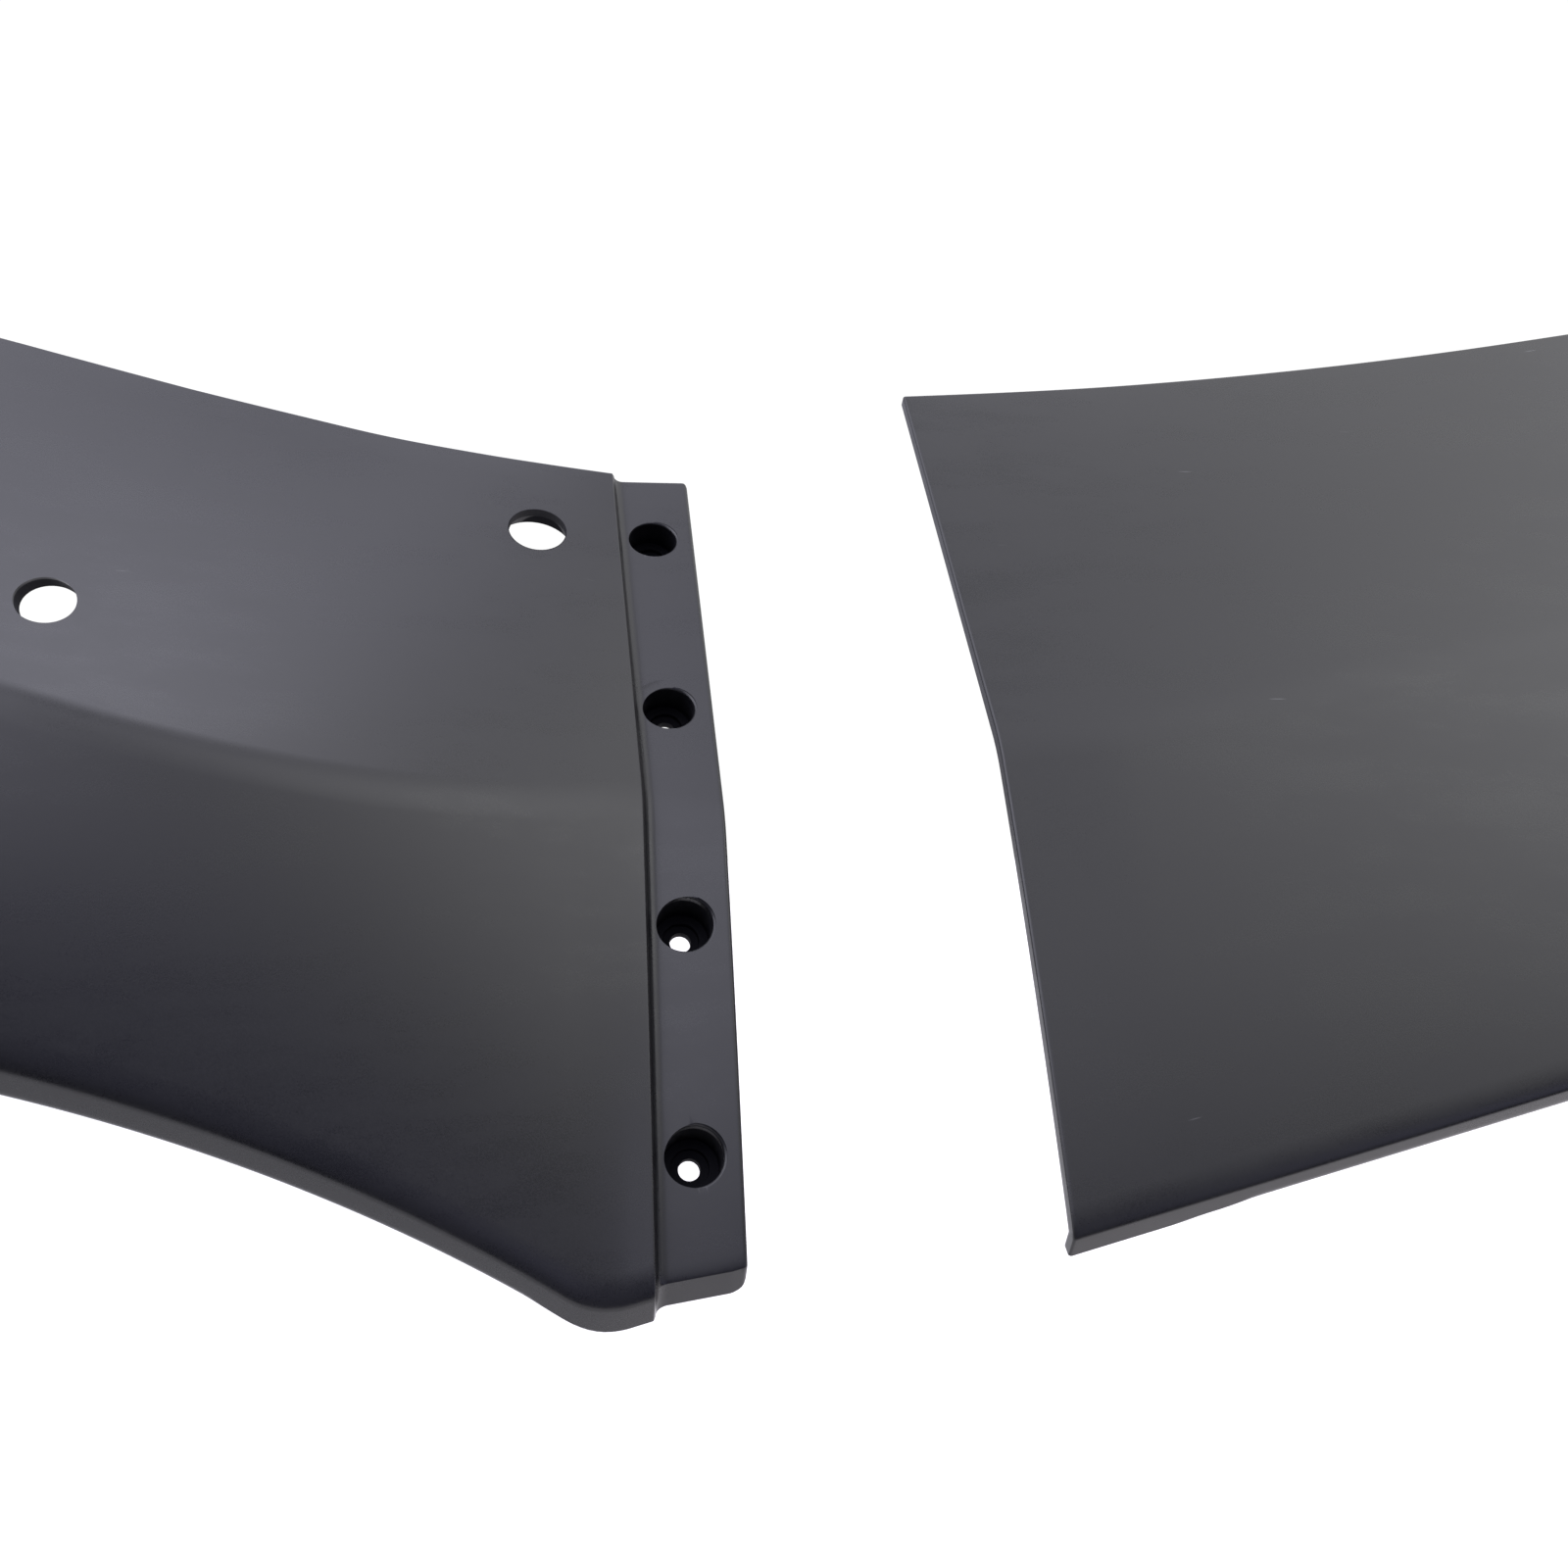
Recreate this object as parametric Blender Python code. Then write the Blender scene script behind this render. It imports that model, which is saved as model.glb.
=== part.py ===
"""Two-section wheel-arch mudguard: a moulded arch panel with a recessed lap flange, and an extension panel
that slides over that flange. The extension is stored drawn off the lap."""
import math

import bmesh
import bpy
import numpy as np
from mathutils import Matrix, Vector

for old in list(bpy.data.objects):
    bpy.data.objects.remove(old, do_unlink=True)

# Driving dimensions in millimetres, in the joint frame: X along the panels with 0 at the joint line,
# +Y into the vehicle, +Z up with 0 at the top edge of the joint.
WHEEL_X, WHEEL_Z = -223.0, -491.0      # centre of the wheel opening
R_LIP = 370.0                          # radius of the wheel opening
LIP_Z0 = -184.6                        # lip height of the arch panel at the joint
LIP_Z0_EXT = -186.0                    # lip height of the extension panel at the joint
LIP_SLOPE = 0.235                      # rise of the straight lip along the extension
LIP_FILLET = 16.0                      # corner between wheel opening and straight lip
Y_LIP = -104.5
Y_CREASE, Z_CREASE = -66.0, -84.5
Z_CREASE_EXT, CREASE_SLOPE = -91.7, 0.2123   # straight crease of the extension panel
BELLY, HOLLOW = 1.2, 5.0               # outward bow of the face below the crease, and hollow of the arch panel's face above it
WALL = 3.0
RECESS = 3.4                           # lap flange set back from the outer face
FLANGE_IN = 6.2                        # depth of the lap flange's inner face
FLANGE_W = 18.0
BAND, RETURN = 7.5, 14.0               # lip face and inward return
CREASE_SOFT = 5.0                      # rounding of the crease, each way from its corner
LIP_TILT = -35.0                       # elevation of the lip face's normal, degrees
THETA_IN, THETA_END = 14.0, -78.0      # wheel arc from its start near the joint to the leg's end, degrees
TURN = 60.0                            # degrees of wheel arc per unit of run
S_END = 1.0 + (THETA_IN - THETA_END) / TURN
EXT_START, EXT_LEN = 3.0, 390.0        # extension panel from its joint end to its tip
APART = (70.4, -25.6, 15.4)            # extension panel drawn off the lap, as stored
JOINT_LEAN, JOINT_BOW = -1.9, 0.9      # joint line's run at the top edge and at the crease
PANEL_LEAN, PANEL_BOW = -3.4, -1.2     # the same for the extension panel's end
PANEL_RISE = 1.5                       # extension panel's top edge above the lap flange's plain line

# (angle from the top of the wheel, value) along the arch
TOP_R = ((14, 521.6), (13.3, 521.38), (10.4, 522.0), (7.9, 523.7), (0, 531.5), (-12, 539.5), (-30, 541), (-50, 528), (-65, 508),
         (-78, 486))
CREASE_R = ((14, 438.3), (13, 438.7), (8, 440.1), (0, 440.6), (-30, 439.5), (-60, 434), (-78, 428))
CREASE_Y = ((14, -97), (0, -101), (-25, -101), (-50, -90), (-65, -78), (-78, -66))
# (x, height) of the top edge between the joint and the start of the wheel arc
TOP_Z = ((0, 0), (-16, 1.65), (-33.5, 3.65), (-58, 7.2), (-82, 12.0), (-96.81, 15.107))
LIP_Y = ((14, -108), (0, -110), (-25, -110), (-50, -102), (-65, -92), (-78, -82))

# lap screw bosses: run along X, then distance from the top edge (upper face) or from the crease (lower face)
BOSSES = ((7.5, 0, 22.3), (8.2, 0, 79.4), (8.7, 1, 26.4), (8.5, 1, 75.0))
BOSS_TILT = 29.0                       # elevation of the screw axes, degrees
BOSS_R, BOSS_DEEP = 8.0, 12.5
BORE_R, BORE_DEEP = 6.0, 9.2           # counterbore
STEP_R, STEP_DEEP = 4.0, 10.4
SCREW_R = 2.3
# body bolt holes: run of the arch panel and distance from the top edge
BOLTS = ((0.205, 27.2), (1.0175, 93.1))
BOLT_R, PAD_R, PAD_H = (7.0, 6.1), 12.0, 2.5


def ease(t):
    t = min(1.0, max(0.0, t))
    return t * t * (3 - 2 * t)


def vec(*a):
    return np.array(a, float)


def keyed(keys, t):
    """Smooth curve through keys whose first column falls."""
    ts = [float(k[0]) for k in keys]
    vs = [float(k[1]) for k in keys]
    n = len(ts)
    sl = [(vs[i + 1] - vs[i]) / (ts[i + 1] - ts[i]) for i in range(n - 1)]
    m = [sl[0]] + [(sl[i - 1] + sl[i]) / 2 for i in range(1, n - 1)] + [sl[-1]]
    t = min(ts[0], max(ts[-1], t))
    i = 0
    while i < n - 2 and t < ts[i + 1]:
        i += 1
    h = ts[i + 1] - ts[i]
    x = (t - ts[i]) / h
    return ((1 + 2 * x) * (1 - x) ** 2 * vs[i] + x * (1 - x) ** 2 * h * m[i]
            + x * x * (3 - 2 * x) * vs[i + 1] + x * x * (x - 1) * h * m[i + 1])


def lip_corner():
    """Centre of the lip's corner fillet and its touching points on the straight lip and the wheel arc, (x, z)."""
    m, n = LIP_SLOPE, math.hypot(1, LIP_SLOPE)
    k = LIP_Z0 + LIP_FILLET * n - WHEEL_Z
    rr = R_LIP + LIP_FILLET
    a, b, c = 1 + m * m, 2 * (m * k - WHEEL_X), WHEEL_X ** 2 + k * k - rr * rr
    fx = (-b + math.sqrt(b * b - 4 * a * c)) / (2 * a)
    fz = LIP_Z0 + m * fx + LIP_FILLET * n
    on_line = (fx + LIP_FILLET * m / n, fz - LIP_FILLET / n)
    on_arc = (WHEEL_X + (fx - WHEEL_X) * R_LIP / rr, WHEEL_Z + (fz - WHEEL_Z) * R_LIP / rr)
    return (fx, fz), on_line, on_arc


def lip_run(frac):
    """(x, z) on the lip: frac 0 at the joint, 1 where the plain wheel arc starts, by length."""
    (fx, fz), lp, ap = lip_corner()
    l1 = math.hypot(lp[0], lp[1] - LIP_Z0)
    a0 = math.atan2(lp[1] - fz, lp[0] - fx)
    a1 = math.atan2(ap[1] - fz, ap[0] - fx)
    if a1 > a0:
        a1 -= 2 * math.pi
    l2 = LIP_FILLET * (a0 - a1)
    th1 = math.atan2(ap[0] - WHEEL_X, ap[1] - WHEEL_Z)
    l3 = R_LIP * (th1 - math.radians(THETA_IN))
    s = frac * (l1 + l2 + l3)
    if s < l1:
        return lp[0] * s / l1, LIP_Z0 + (lp[1] - LIP_Z0) * s / l1
    if s < l1 + l2:
        a = a0 - (s - l1) / LIP_FILLET
        return fx + LIP_FILLET * math.cos(a), fz + LIP_FILLET * math.sin(a)
    th = th1 - (s - l1 - l2) / R_LIP
    return WHEEL_X + R_LIP * math.sin(th), WHEEL_Z + R_LIP * math.cos(th)


def crease_fall(x):
    """Height of the extension panel's crease before the panel tapers, seated."""
    return Z_CREASE_EXT + CREASE_SLOPE * x + 2.6 * (1.0 - ease(x / 30.0))


def guide_ext(x, lean=JOINT_LEAN, bow=JOINT_BOW, fade=26.0, fall=crease_fall):
    """Top edge, crease and lip of the section shared by the lap flange and the extension panel, seated."""
    wrap = 0.0009 * max(0.0, x - 170.0) ** 2
    out = 1.0 - 0.45 * ease((x - 190.0) / 240.0)
    tall = math.sqrt(1.0 - 0.80 * (max(0.0, x - 220.0) / 190.0) ** 2)
    zb = LIP_Z0_EXT + LIP_SLOPE * x
    top = 0.08 * x + 0.00031 * x * x
    zt, zc = zb + (top - zb) * tall, zb + (fall(x) - zb) * tall
    yc = Y_CREASE * (top - fall(x)) / (top - Z_CREASE - 0.15 * x)
    return (vec(x + lean * (1.0 - ease(x / fade)), wrap, zt),
            vec(x + bow * (1.0 - ease(x / 60.0)), yc * out + wrap, zc), vec(x, Y_LIP * out + wrap, zb))


def raised(guides, rise):
    """The same section with its top edge slid up its own face."""
    T, C, B = guides
    return T + (T - C) * rise / (T[2] - C[2]), C, B


def guide_flange(x):
    """Lap flange: the top edge falls slightly and its corner is rounded; the lip rises towards the step."""
    t = max(0.0, x - FLANGE_W + 1.2) / 1.2
    near = guide_ext(x, fall=lambda q: Z_CREASE + (crease_fall(FLANGE_W) - Z_CREASE) * q / FLANGE_W)
    T, C, B = raised(near, 0.6 - 0.083 * x - 1.2 * (1.0 - math.sqrt(max(0.0, 1.0 - t * t))))
    e = math.radians(LIP_TILT)
    along = C - B - BAND * vec(0, math.sin(e), math.cos(e))
    return T, C, B + along * 1.5 * max(0.0, 1.0 - x / 15.0) / np.linalg.norm(along)


def guide_panel(x):
    """Extension panel, seated."""
    return raised(guide_ext(x, PANEL_LEAN, PANEL_BOW, 60.0), PANEL_RISE)


def guide_arch(s):
    """Top edge, crease and lip of the arch panel: run 0 at the joint, 1 at the wheel arc's start, S_END at the leg's end."""
    if s <= 1.0:
        k = 1.0 - ease(s / 0.5)
        t = 96.81 * s
        top = vec(-t + JOINT_LEAN * k, 0, keyed(TOP_Z, -t))
        t = 116.97 * s
        crease = vec(-t + JOINT_BOW * k, Y_CREASE - 57.4 * s + 26.4 * s * s,
                     Z_CREASE - 0.0497 * t + 0.002149 * t * t - 0.000003 * t ** 3)
        x, z = lip_run(s)
        return top, crease, vec(x, Y_LIP - 3.5 * s, z)
    th = THETA_IN - (s - 1.0) * TURN
    sn, cs = math.sin(math.radians(th)), math.cos(math.radians(th))

    def at(r, y):
        return vec(WHEEL_X + r * sn, y, WHEEL_Z + r * cs)
    return at(keyed(TOP_R, th), 0), at(keyed(CREASE_R, th), keyed(CREASE_Y, th)), at(R_LIP, keyed(LIP_Y, th))


def soft_ext(x):
    """Crease softness above and below, tilt of the return's normal, the return's length, trim of the lip face,
    lip bend's lengths."""
    k = ease((x - 22.0) / 12.0)
    return (CREASE_SOFT, CREASE_SOFT, LIP_TILT + (-90.0 - LIP_TILT) * k, 0.5 + (RETURN - 0.5) * ease((x - 32.0) / 24.0),
            2.5, 5.5, 1.1)


def soft_flange(x):
    t = max(0.0, x - FLANGE_W + 3.0) / 3.0
    return CREASE_SOFT, CREASE_SOFT, LIP_TILT, 0.5, 3.0 * (1.0 - math.sqrt(max(0.0, 1.0 - t * t))) - 1.1, 4.8, 2.2


def upper_hollow(s):
    """Hollow of the arch panel's upper face, growing from none at the joint."""
    return HOLLOW * ease(s / 1.1)


def soft_arch(s):
    k = ease((s - 0.06) / 0.08)
    return (CREASE_SOFT, CREASE_SOFT, LIP_TILT + (-90.0 - LIP_TILT) * k,
            0.5 + (RETURN - 0.5) * ease((s - 0.13) / 0.17), 0.0, 6.0, 1.9, upper_hollow(s))


def section_axes(guides):
    """Up direction of a section in the side plane, and the direction across it."""
    T, C, B = guides
    up = (T - B) * vec(1, 0, 1)
    up /= np.linalg.norm(up)
    return up, vec(up[2], 0, -up[0])


def lip_point(guides, soft):
    """Outer bend between the lip face and its return."""
    e = math.radians(LIP_TILT)
    return guides[2] + soft[4] * (math.cos(e) * section_axes(guides)[0] + vec(0, math.sin(e), 0))


def polygon(guides, soft, depth):
    """Corner points of one wall line at a depth below the outer face, and the fillet lengths at each corner."""
    T, C, B = guides
    up, lat = section_axes(guides)
    er, eb = math.radians(soft[2]), math.radians(LIP_TILT)
    t, b1 = vec((T - B) @ up, T[1]), vec(0, B[1])
    c, wc = vec((C - B) @ up, C[1]), (C - B) @ lat
    face = vec(math.cos(eb), math.sin(eb))
    b0, b1 = b1 + BAND * face, b1 + soft[4] * face
    b2 = b1 + soft[3] * vec(-math.cos(er), -math.sin(er))
    p = [t, c, b0, b1, b2]
    d = [(p[i + 1] - p[i]) / np.linalg.norm(p[i + 1] - p[i]) for i in range(4)]
    nrm = [vec(q[1], -q[0]) for q in d]
    out = [p[0] + depth * nrm[0]]
    for i in range(1, 4):
        out.append(p[i] + depth * (nrm[i - 1] + nrm[i]) / (1 + nrm[i - 1] @ nrm[i]))
    out.append(p[4] + depth * nrm[3])
    half = [math.tan(math.acos(max(-1.0, min(1.0, float(d[i] @ d[i + 1])))) / 2) for i in range(3)]
    base = B * vec(1, 0, 1)
    pts = [base + q[0] * up + vec(0, q[1], 0) + w * lat for q, w in zip(out, (0, wc, 0, 0, 0))]
    cut = [depth * h for h in half]
    ar = min(1.6, 0.45 * soft[3])
    fil = [(max(1.0, soft[0] - cut[0]), max(1.0, soft[1] - cut[0])),
           (max(1.0, soft[5] - cut[1]), max(0.2, soft[6] - cut[1])),
           (max(0.15, ar - cut[2]), max(0.15, ar - cut[2]))]
    return pts, fil


def below_crease(guides, p, q):
    """Point of the bowed face below the crease, q along it from the crease's corner; p holds a wall line's corners."""
    size = np.linalg.norm(p[2] - p[1])
    d = (p[2] - p[1]) / size
    out = np.cross(section_axes(guides)[1], d)
    out /= np.linalg.norm(out) if out[1] < 0 else -np.linalg.norm(out)
    return p[1] + q * d + 4.0 * BELLY * (q / size) * (1.0 - q / size) * out


def above_crease(guides, top, crease, q, hollow):
    """Point of the hollow face above the crease, q along it from the top edge."""
    size = np.linalg.norm(crease - top)
    d = (crease - top) / size
    out = np.cross(section_axes(guides)[1], d)
    out /= np.linalg.norm(out) if out[1] < 0 else -np.linalg.norm(out)
    return top + q * d - 4.0 * hollow * (q / size) * (1.0 - q / size) * out


def wall_line(guides, soft, depth, n):
    """Points of one wall line from the top edge to the free edge of the return; n counts the pieces of each stretch."""
    p, fil = polygon(guides, soft, depth)
    hollow = soft[7] if len(soft) > 7 else 0.0
    reach = np.linalg.norm(p[1] - p[0]) - fil[0][0]
    d = [(p[i + 1] - p[i]) / np.linalg.norm(p[i + 1] - p[i]) for i in range(4)]
    q0, q1 = fil[0][1], np.linalg.norm(p[2] - p[1]) - fil[1][0]
    out = []
    start = p[0]
    for i in range(3):
        a = p[i + 1] - fil[i][0] * d[i]
        if i == 0:
            a = above_crease(guides, p[0], p[1], reach, hollow)
        elif i == 1:
            a = below_crease(guides, p, q1)
        b = p[i + 1] + fil[i][1] * d[i + 1] if i != 0 else below_crease(guides, p, q0)
        k = n[2 * i]
        if i == 0:
            out += [above_crease(guides, p[0], p[1], reach * j / k, hollow) for j in range(k)]
        elif i == 1:
            out += [below_crease(guides, p, q0 + (q1 - q0) * j / k) for j in range(k)]
        else:
            out += [start + (a - start) * j / k for j in range(k)]
        k = n[2 * i + 1]
        for j in range(k):
            t = j / k
            out.append((1 - t) ** 2 * a + 2 * t * (1 - t) * p[i + 1] + t * t * b)
        start = b
    k = n[6]
    out += [start + (p[4] - start) * j / k for j in range(k + 1)]
    return np.array(out)


def inward(guides):
    """Inward normals of the upper and of the lower face, in the section's own plane."""
    up, lat = section_axes(guides)
    pts, fil = polygon(guides, (CREASE_SOFT, CREASE_SOFT, LIP_TILT, 1.0, 0.0, 6.0, 1.9), 0.0)
    res = []
    for a, b in ((pts[0], pts[1]), (pts[1], pts[2])):
        d = vec((b - a) @ up, b[1] - a[1])
        d /= np.linalg.norm(d)
        res.append(d[1] * up + vec(0, -d[0], 0))
    return res


def boss_seats():
    """Centre on the lap flange's outer face of each screw boss."""
    res = []
    for x, part, along in BOSSES:
        guides = guide_flange(x)
        pts, fil = polygon(guides, soft_flange(x), RECESS)
        if part:
            p = below_crease(guides, pts, along)
        else:
            p = pts[0] + (pts[1] - pts[0]) * along / np.linalg.norm(pts[1] - pts[0])
        res.append(vec(x, p[1], p[2]))
    return res


BOSS_AXIS = (0.0, math.cos(math.radians(BOSS_TILT)), -math.sin(math.radians(BOSS_TILT)))


def face_frame(s, along):
    """Point on the arch panel's upper outer face and the true inward normal there."""
    def at(r, q):
        guides = guide_arch(r)
        return above_crease(guides, guides[0], guides[1], q, upper_hollow(r))
    p = at(s, along)
    n = np.cross(at(s + 0.01, along) - p, at(s, along + 1.0) - p)
    n /= np.linalg.norm(n)
    if n[1] < 0:
        n = -n
    return p, n


def bolt_seats():
    """Centre on the upper face and inward axis of each body bolt hole."""
    return [face_frame(s, along) for s, along in BOLTS]


PAD_AT = bolt_seats()[0][0] + bolt_seats()[0][1] * (WALL + PAD_H)

# rows of points across each wall: upper face, crease, lower face, lip bend, lip face, return bend, return
ROWS, EXT_ROWS = (5, 3, 4, 3, 1, 2, 1), (2, 3, 4, 3, 1, 2, 1)
ARC_STEPS = 20
# push clips: run of the arch panel, or x of the extension
ARCH_CLIPS = (0.56, 1.27, 1.62, 1.97, 2.32)
EXT_CLIPS = (70.0, 165.0, 262.0)
CLIP_DROP = 26.0                       # seat of a clip tower outward of the top edge
TOWER_W, TOWER_T, TOWER_TOP = 10.0, 9.0, -5.0
# spring nuts on the lip return
ARCH_NUTS = (1.15, 1.57, 1.98, 2.37)
EXT_NUTS = (125.0, 290.0)
NUT_W, NUT_GAP, NUT_T, NUT_LEG = 7.0, 0.45, 1.0, 8.0
RIB_T = 1.1
SEAL = (1.2, 10.0, 3.3, 7.6)           # along the face from, to; depth from, to

APART = vec(*APART)


def world(p):
    return tuple((np.asarray(p, float) - PAD_AT) / 1000.0)


def material(name, colour, rough, metal):
    m = bpy.data.materials.new(name)
    m.use_nodes = True
    b = m.node_tree.nodes["Principled BSDF"]
    b.inputs["Base Color"].default_value = (*colour, 1.0)
    b.inputs["Roughness"].default_value = rough
    b.inputs["Metallic"].default_value = metal
    m.diffuse_color = (*colour, 1.0)
    return m


BLACK = ((0.035, 0.035, 0.038), 0.5, 0.0)
RUBBER = ((0.022, 0.022, 0.023), 0.85, 0.0)
FOAM = ((0.075, 0.075, 0.08), 0.95, 0.0)
NYLON = ((0.62, 0.61, 0.57), 0.5, 0.0)
STEEL = ((0.55, 0.55, 0.52), 0.35, 1.0)


def mesh_of(parts):
    """One mesh from (points in millimetres, faces) parts, facing outward."""
    bm = bmesh.new()
    for pts, faces in parts:
        vs = [bm.verts.new(world(p)) for p in pts]
        for f in faces:
            bm.faces.new([vs[i] for i in f])
    bmesh.ops.recalc_face_normals(bm, faces=bm.faces)
    me = bpy.data.meshes.new("m")
    bm.to_mesh(me)
    bm.free()
    return me


def new_object(name, parts, look, at=None, smooth=True):
    me = mesh_of(parts)
    me.name = name
    ob = bpy.data.objects.new(name, me)
    bpy.context.scene.collection.objects.link(ob)
    if look:
        me.materials.append(material(name, *look))
    if at is not None:
        here = Vector(world(at))
        me.transform(Matrix.Translation(-here))
        ob.location = here
    if smooth:
        for p in me.polygons:
            p.use_smooth = True
    return ob




def carve(ob, add, cut):
    """Weld the added solids to an object, then take the cut solids away."""
    for label, op, parts in (("add", "UNION", add), ("cut", "DIFFERENCE", cut)):
        if not parts:
            continue
        for k, part in enumerate(parts):
            tool = new_object(ob.name + "_" + label + str(k), [part], None, smooth=False)
            mod = ob.modifiers.new(label + str(k), "BOOLEAN")
            mod.operation, mod.solver, mod.object = op, "EXACT", tool
    bpy.context.view_layer.update()
    done = bpy.data.meshes.new_from_object(ob.evaluated_get(bpy.context.evaluated_depsgraph_get()))
    tools = [m.object for m in ob.modifiers]
    ob.modifiers.clear()
    keep = list(ob.data.materials)
    ob.data = done
    done.name = ob.name
    done.materials.clear()
    for m in keep:
        done.materials.append(m)
    for t in tools:
        bpy.data.objects.remove(t, do_unlink=True)
    bm = bmesh.new()
    bm.from_mesh(done)
    bmesh.ops.remove_doubles(bm, verts=bm.verts, dist=0.00002)
    bmesh.ops.dissolve_degenerate(bm, edges=bm.edges, dist=0.00001)
    bmesh.ops.triangulate(bm, faces=bm.faces)
    bmesh.ops.recalc_face_normals(bm, faces=bm.faces)
    bm.to_mesh(done)
    bm.free()
    for p in done.polygons:
        p.use_smooth = True
    done.set_sharp_from_angle(angle=math.radians(35))


def shell(rows):
    """Closed wall from rows of (outer line, inner line)."""
    n = len(rows[0][0])
    pts = [p for o, i in rows for p in list(o) + list(i)]
    w = 2 * n
    faces = []
    for r in range(len(rows) - 1):
        a, b = r * w, (r + 1) * w
        for j in range(n - 1):
            faces.append((a + j, a + j + 1, b + j + 1, b + j))
            faces.append((a + n + j, b + n + j, b + n + j + 1, a + n + j + 1))
        faces.append((a, b, b + n, a + n))
        faces.append((a + n - 1, a + 2 * n - 1, b + 2 * n - 1, b + n - 1))
    for a, flip in ((0, False), ((len(rows) - 1) * w, True)):
        for j in range(n - 1):
            q = (a + j, a + n + j, a + n + j + 1, a + j + 1)
            faces.append(q[::-1] if flip else q)
    return pts, faces


def prism(loops):
    """Closed solid through equal loops of points."""
    n = len(loops[0])
    pts = [p for l in loops for p in l]
    faces = [tuple(range(n)), tuple((len(loops) - 1) * n + k for k in range(n))[::-1]]
    for r in range(len(loops) - 1):
        for k in range(n):
            j = (k + 1) % n
            faces.append((r * n + k, r * n + j, (r + 1) * n + j, (r + 1) * n + k))
    return pts, faces


def turned(at, axis, profile, seg):
    """Solid of revolution: profile is (distance along the axis, radius)."""
    axis = np.asarray(axis, float)
    e1 = np.cross(axis, vec(1, 0, 0) if abs(axis[0]) < 0.9 else vec(0, 0, 1))
    e1 /= np.linalg.norm(e1)
    e2 = np.cross(axis, e1)
    ring = [(math.cos(2 * math.pi * k / seg), math.sin(2 * math.pi * k / seg)) for k in range(seg)]
    return prism([[at + h * axis + r * (c * e1 + s * e2) for c, s in ring] for h, r in profile])


def brick(at, axes, lo, hi):
    c = [at + x * axes[0] + y * axes[1] + z * axes[2] for z in (lo[2], hi[2])
         for x, y in ((lo[0], lo[1]), (hi[0], lo[1]), (hi[0], hi[1]), (lo[0], hi[1]))]
    return prism([c[:4], c[4:]])


Y = vec(0, 1, 0)


def clip_seat(guides):
    """Tower frame for a push clip: point on the upper face, axes across, into the vehicle and up, and the face's slope."""
    T, C, B = guides
    up, lat = section_axes(guides)
    p = T + (C - T) * (CLIP_DROP / (T[1] - C[1]))
    slope = (T[1] - C[1]) / ((T - C) @ up)
    return p * vec(1, 0, 1) + T[1] * Y, lat, up, slope


def tower(guides, hollow=0.0):
    """Solid clip tower on the inner face, and the pocket and open slot cut in it."""
    base, lat, up, slope = clip_seat(guides)
    low, top = [], []
    for l, h in ((-TOWER_W, -TOWER_T), (TOWER_W, -TOWER_T), (TOWER_W, TOWER_T), (-TOWER_W, TOWER_T)):
        q = base + l * lat + h * up
        f = (CLIP_DROP - slope * h) / (guides[0][1] - guides[1][1])
        sink = (1.5 + 4.0 * hollow * f * (1.0 - f)) * math.hypot(1, slope)
        low.append(q + (-CLIP_DROP + slope * h + sink) * Y)
        top.append(q + TOWER_TOP * Y)
    ax = (lat, Y, up)
    pocket = brick(base, ax, (-7.6, -9.5, -TOWER_T - 3), (7.6, -7.0, 7.6))
    slot = brick(base, ax, (-3.3, -7.4, -TOWER_T - 3), (3.3, -4.0, 3.3))
    return prism([low, top]), [pocket, slot]


def clip(guides):
    base = clip_seat(guides)[0]
    prof = ((-9.1, 6.6), (-8.7, 7.0), (-7.4, 7.0), (-7.4, 2.9), (0.9, 2.9), (1.3, 4.3), (4.6, 3.0), (5.0, 4.2), (8.4, 2.8),
            (8.8, 3.9), (13.0, 1.2))
    return turned(base, Y, prof, 12)


def washer(guides):
    base = clip_seat(guides)[0]
    seg, h0, h1, r0, r1 = 12, -4.7, -2.2, 3.3, 7.5
    pts, faces = [], []
    for k in range(seg):
        c, s = math.cos(2 * math.pi * k / seg), math.sin(2 * math.pi * k / seg)
        d = vec(c, 0, s)
        pts += [base + h0 * Y + r0 * d, base + h0 * Y + r1 * d, base + h1 * Y + r1 * d, base + h1 * Y + r0 * d]
    for k in range(seg):
        a, b = 4 * k, 4 * ((k + 1) % seg)
        for j in range(4):
            i = (j + 1) % 4
            faces.append((a + j, a + i, b + i, b + j))
    return pts, faces


def nut_frame(guide, soft, s, step):
    """Free edge of the lip return, axes along it, inward across it and up from it."""
    B = lip_point(guide(s), soft(s))
    lat = guide(s + step)[2] - guide(s - step)[2]
    lat /= np.linalg.norm(lat)
    if lat[0] < 0:
        lat = -lat
    across = Y - (Y @ lat) * lat
    across /= np.linalg.norm(across)
    nrm = np.cross(lat, across)
    up, side = section_axes(guide(s))
    wall = WALL * abs(nrm @ up)
    return B + RETURN * Y, lat, across, nrm if nrm[2] > 0 else -nrm, wall


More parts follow.
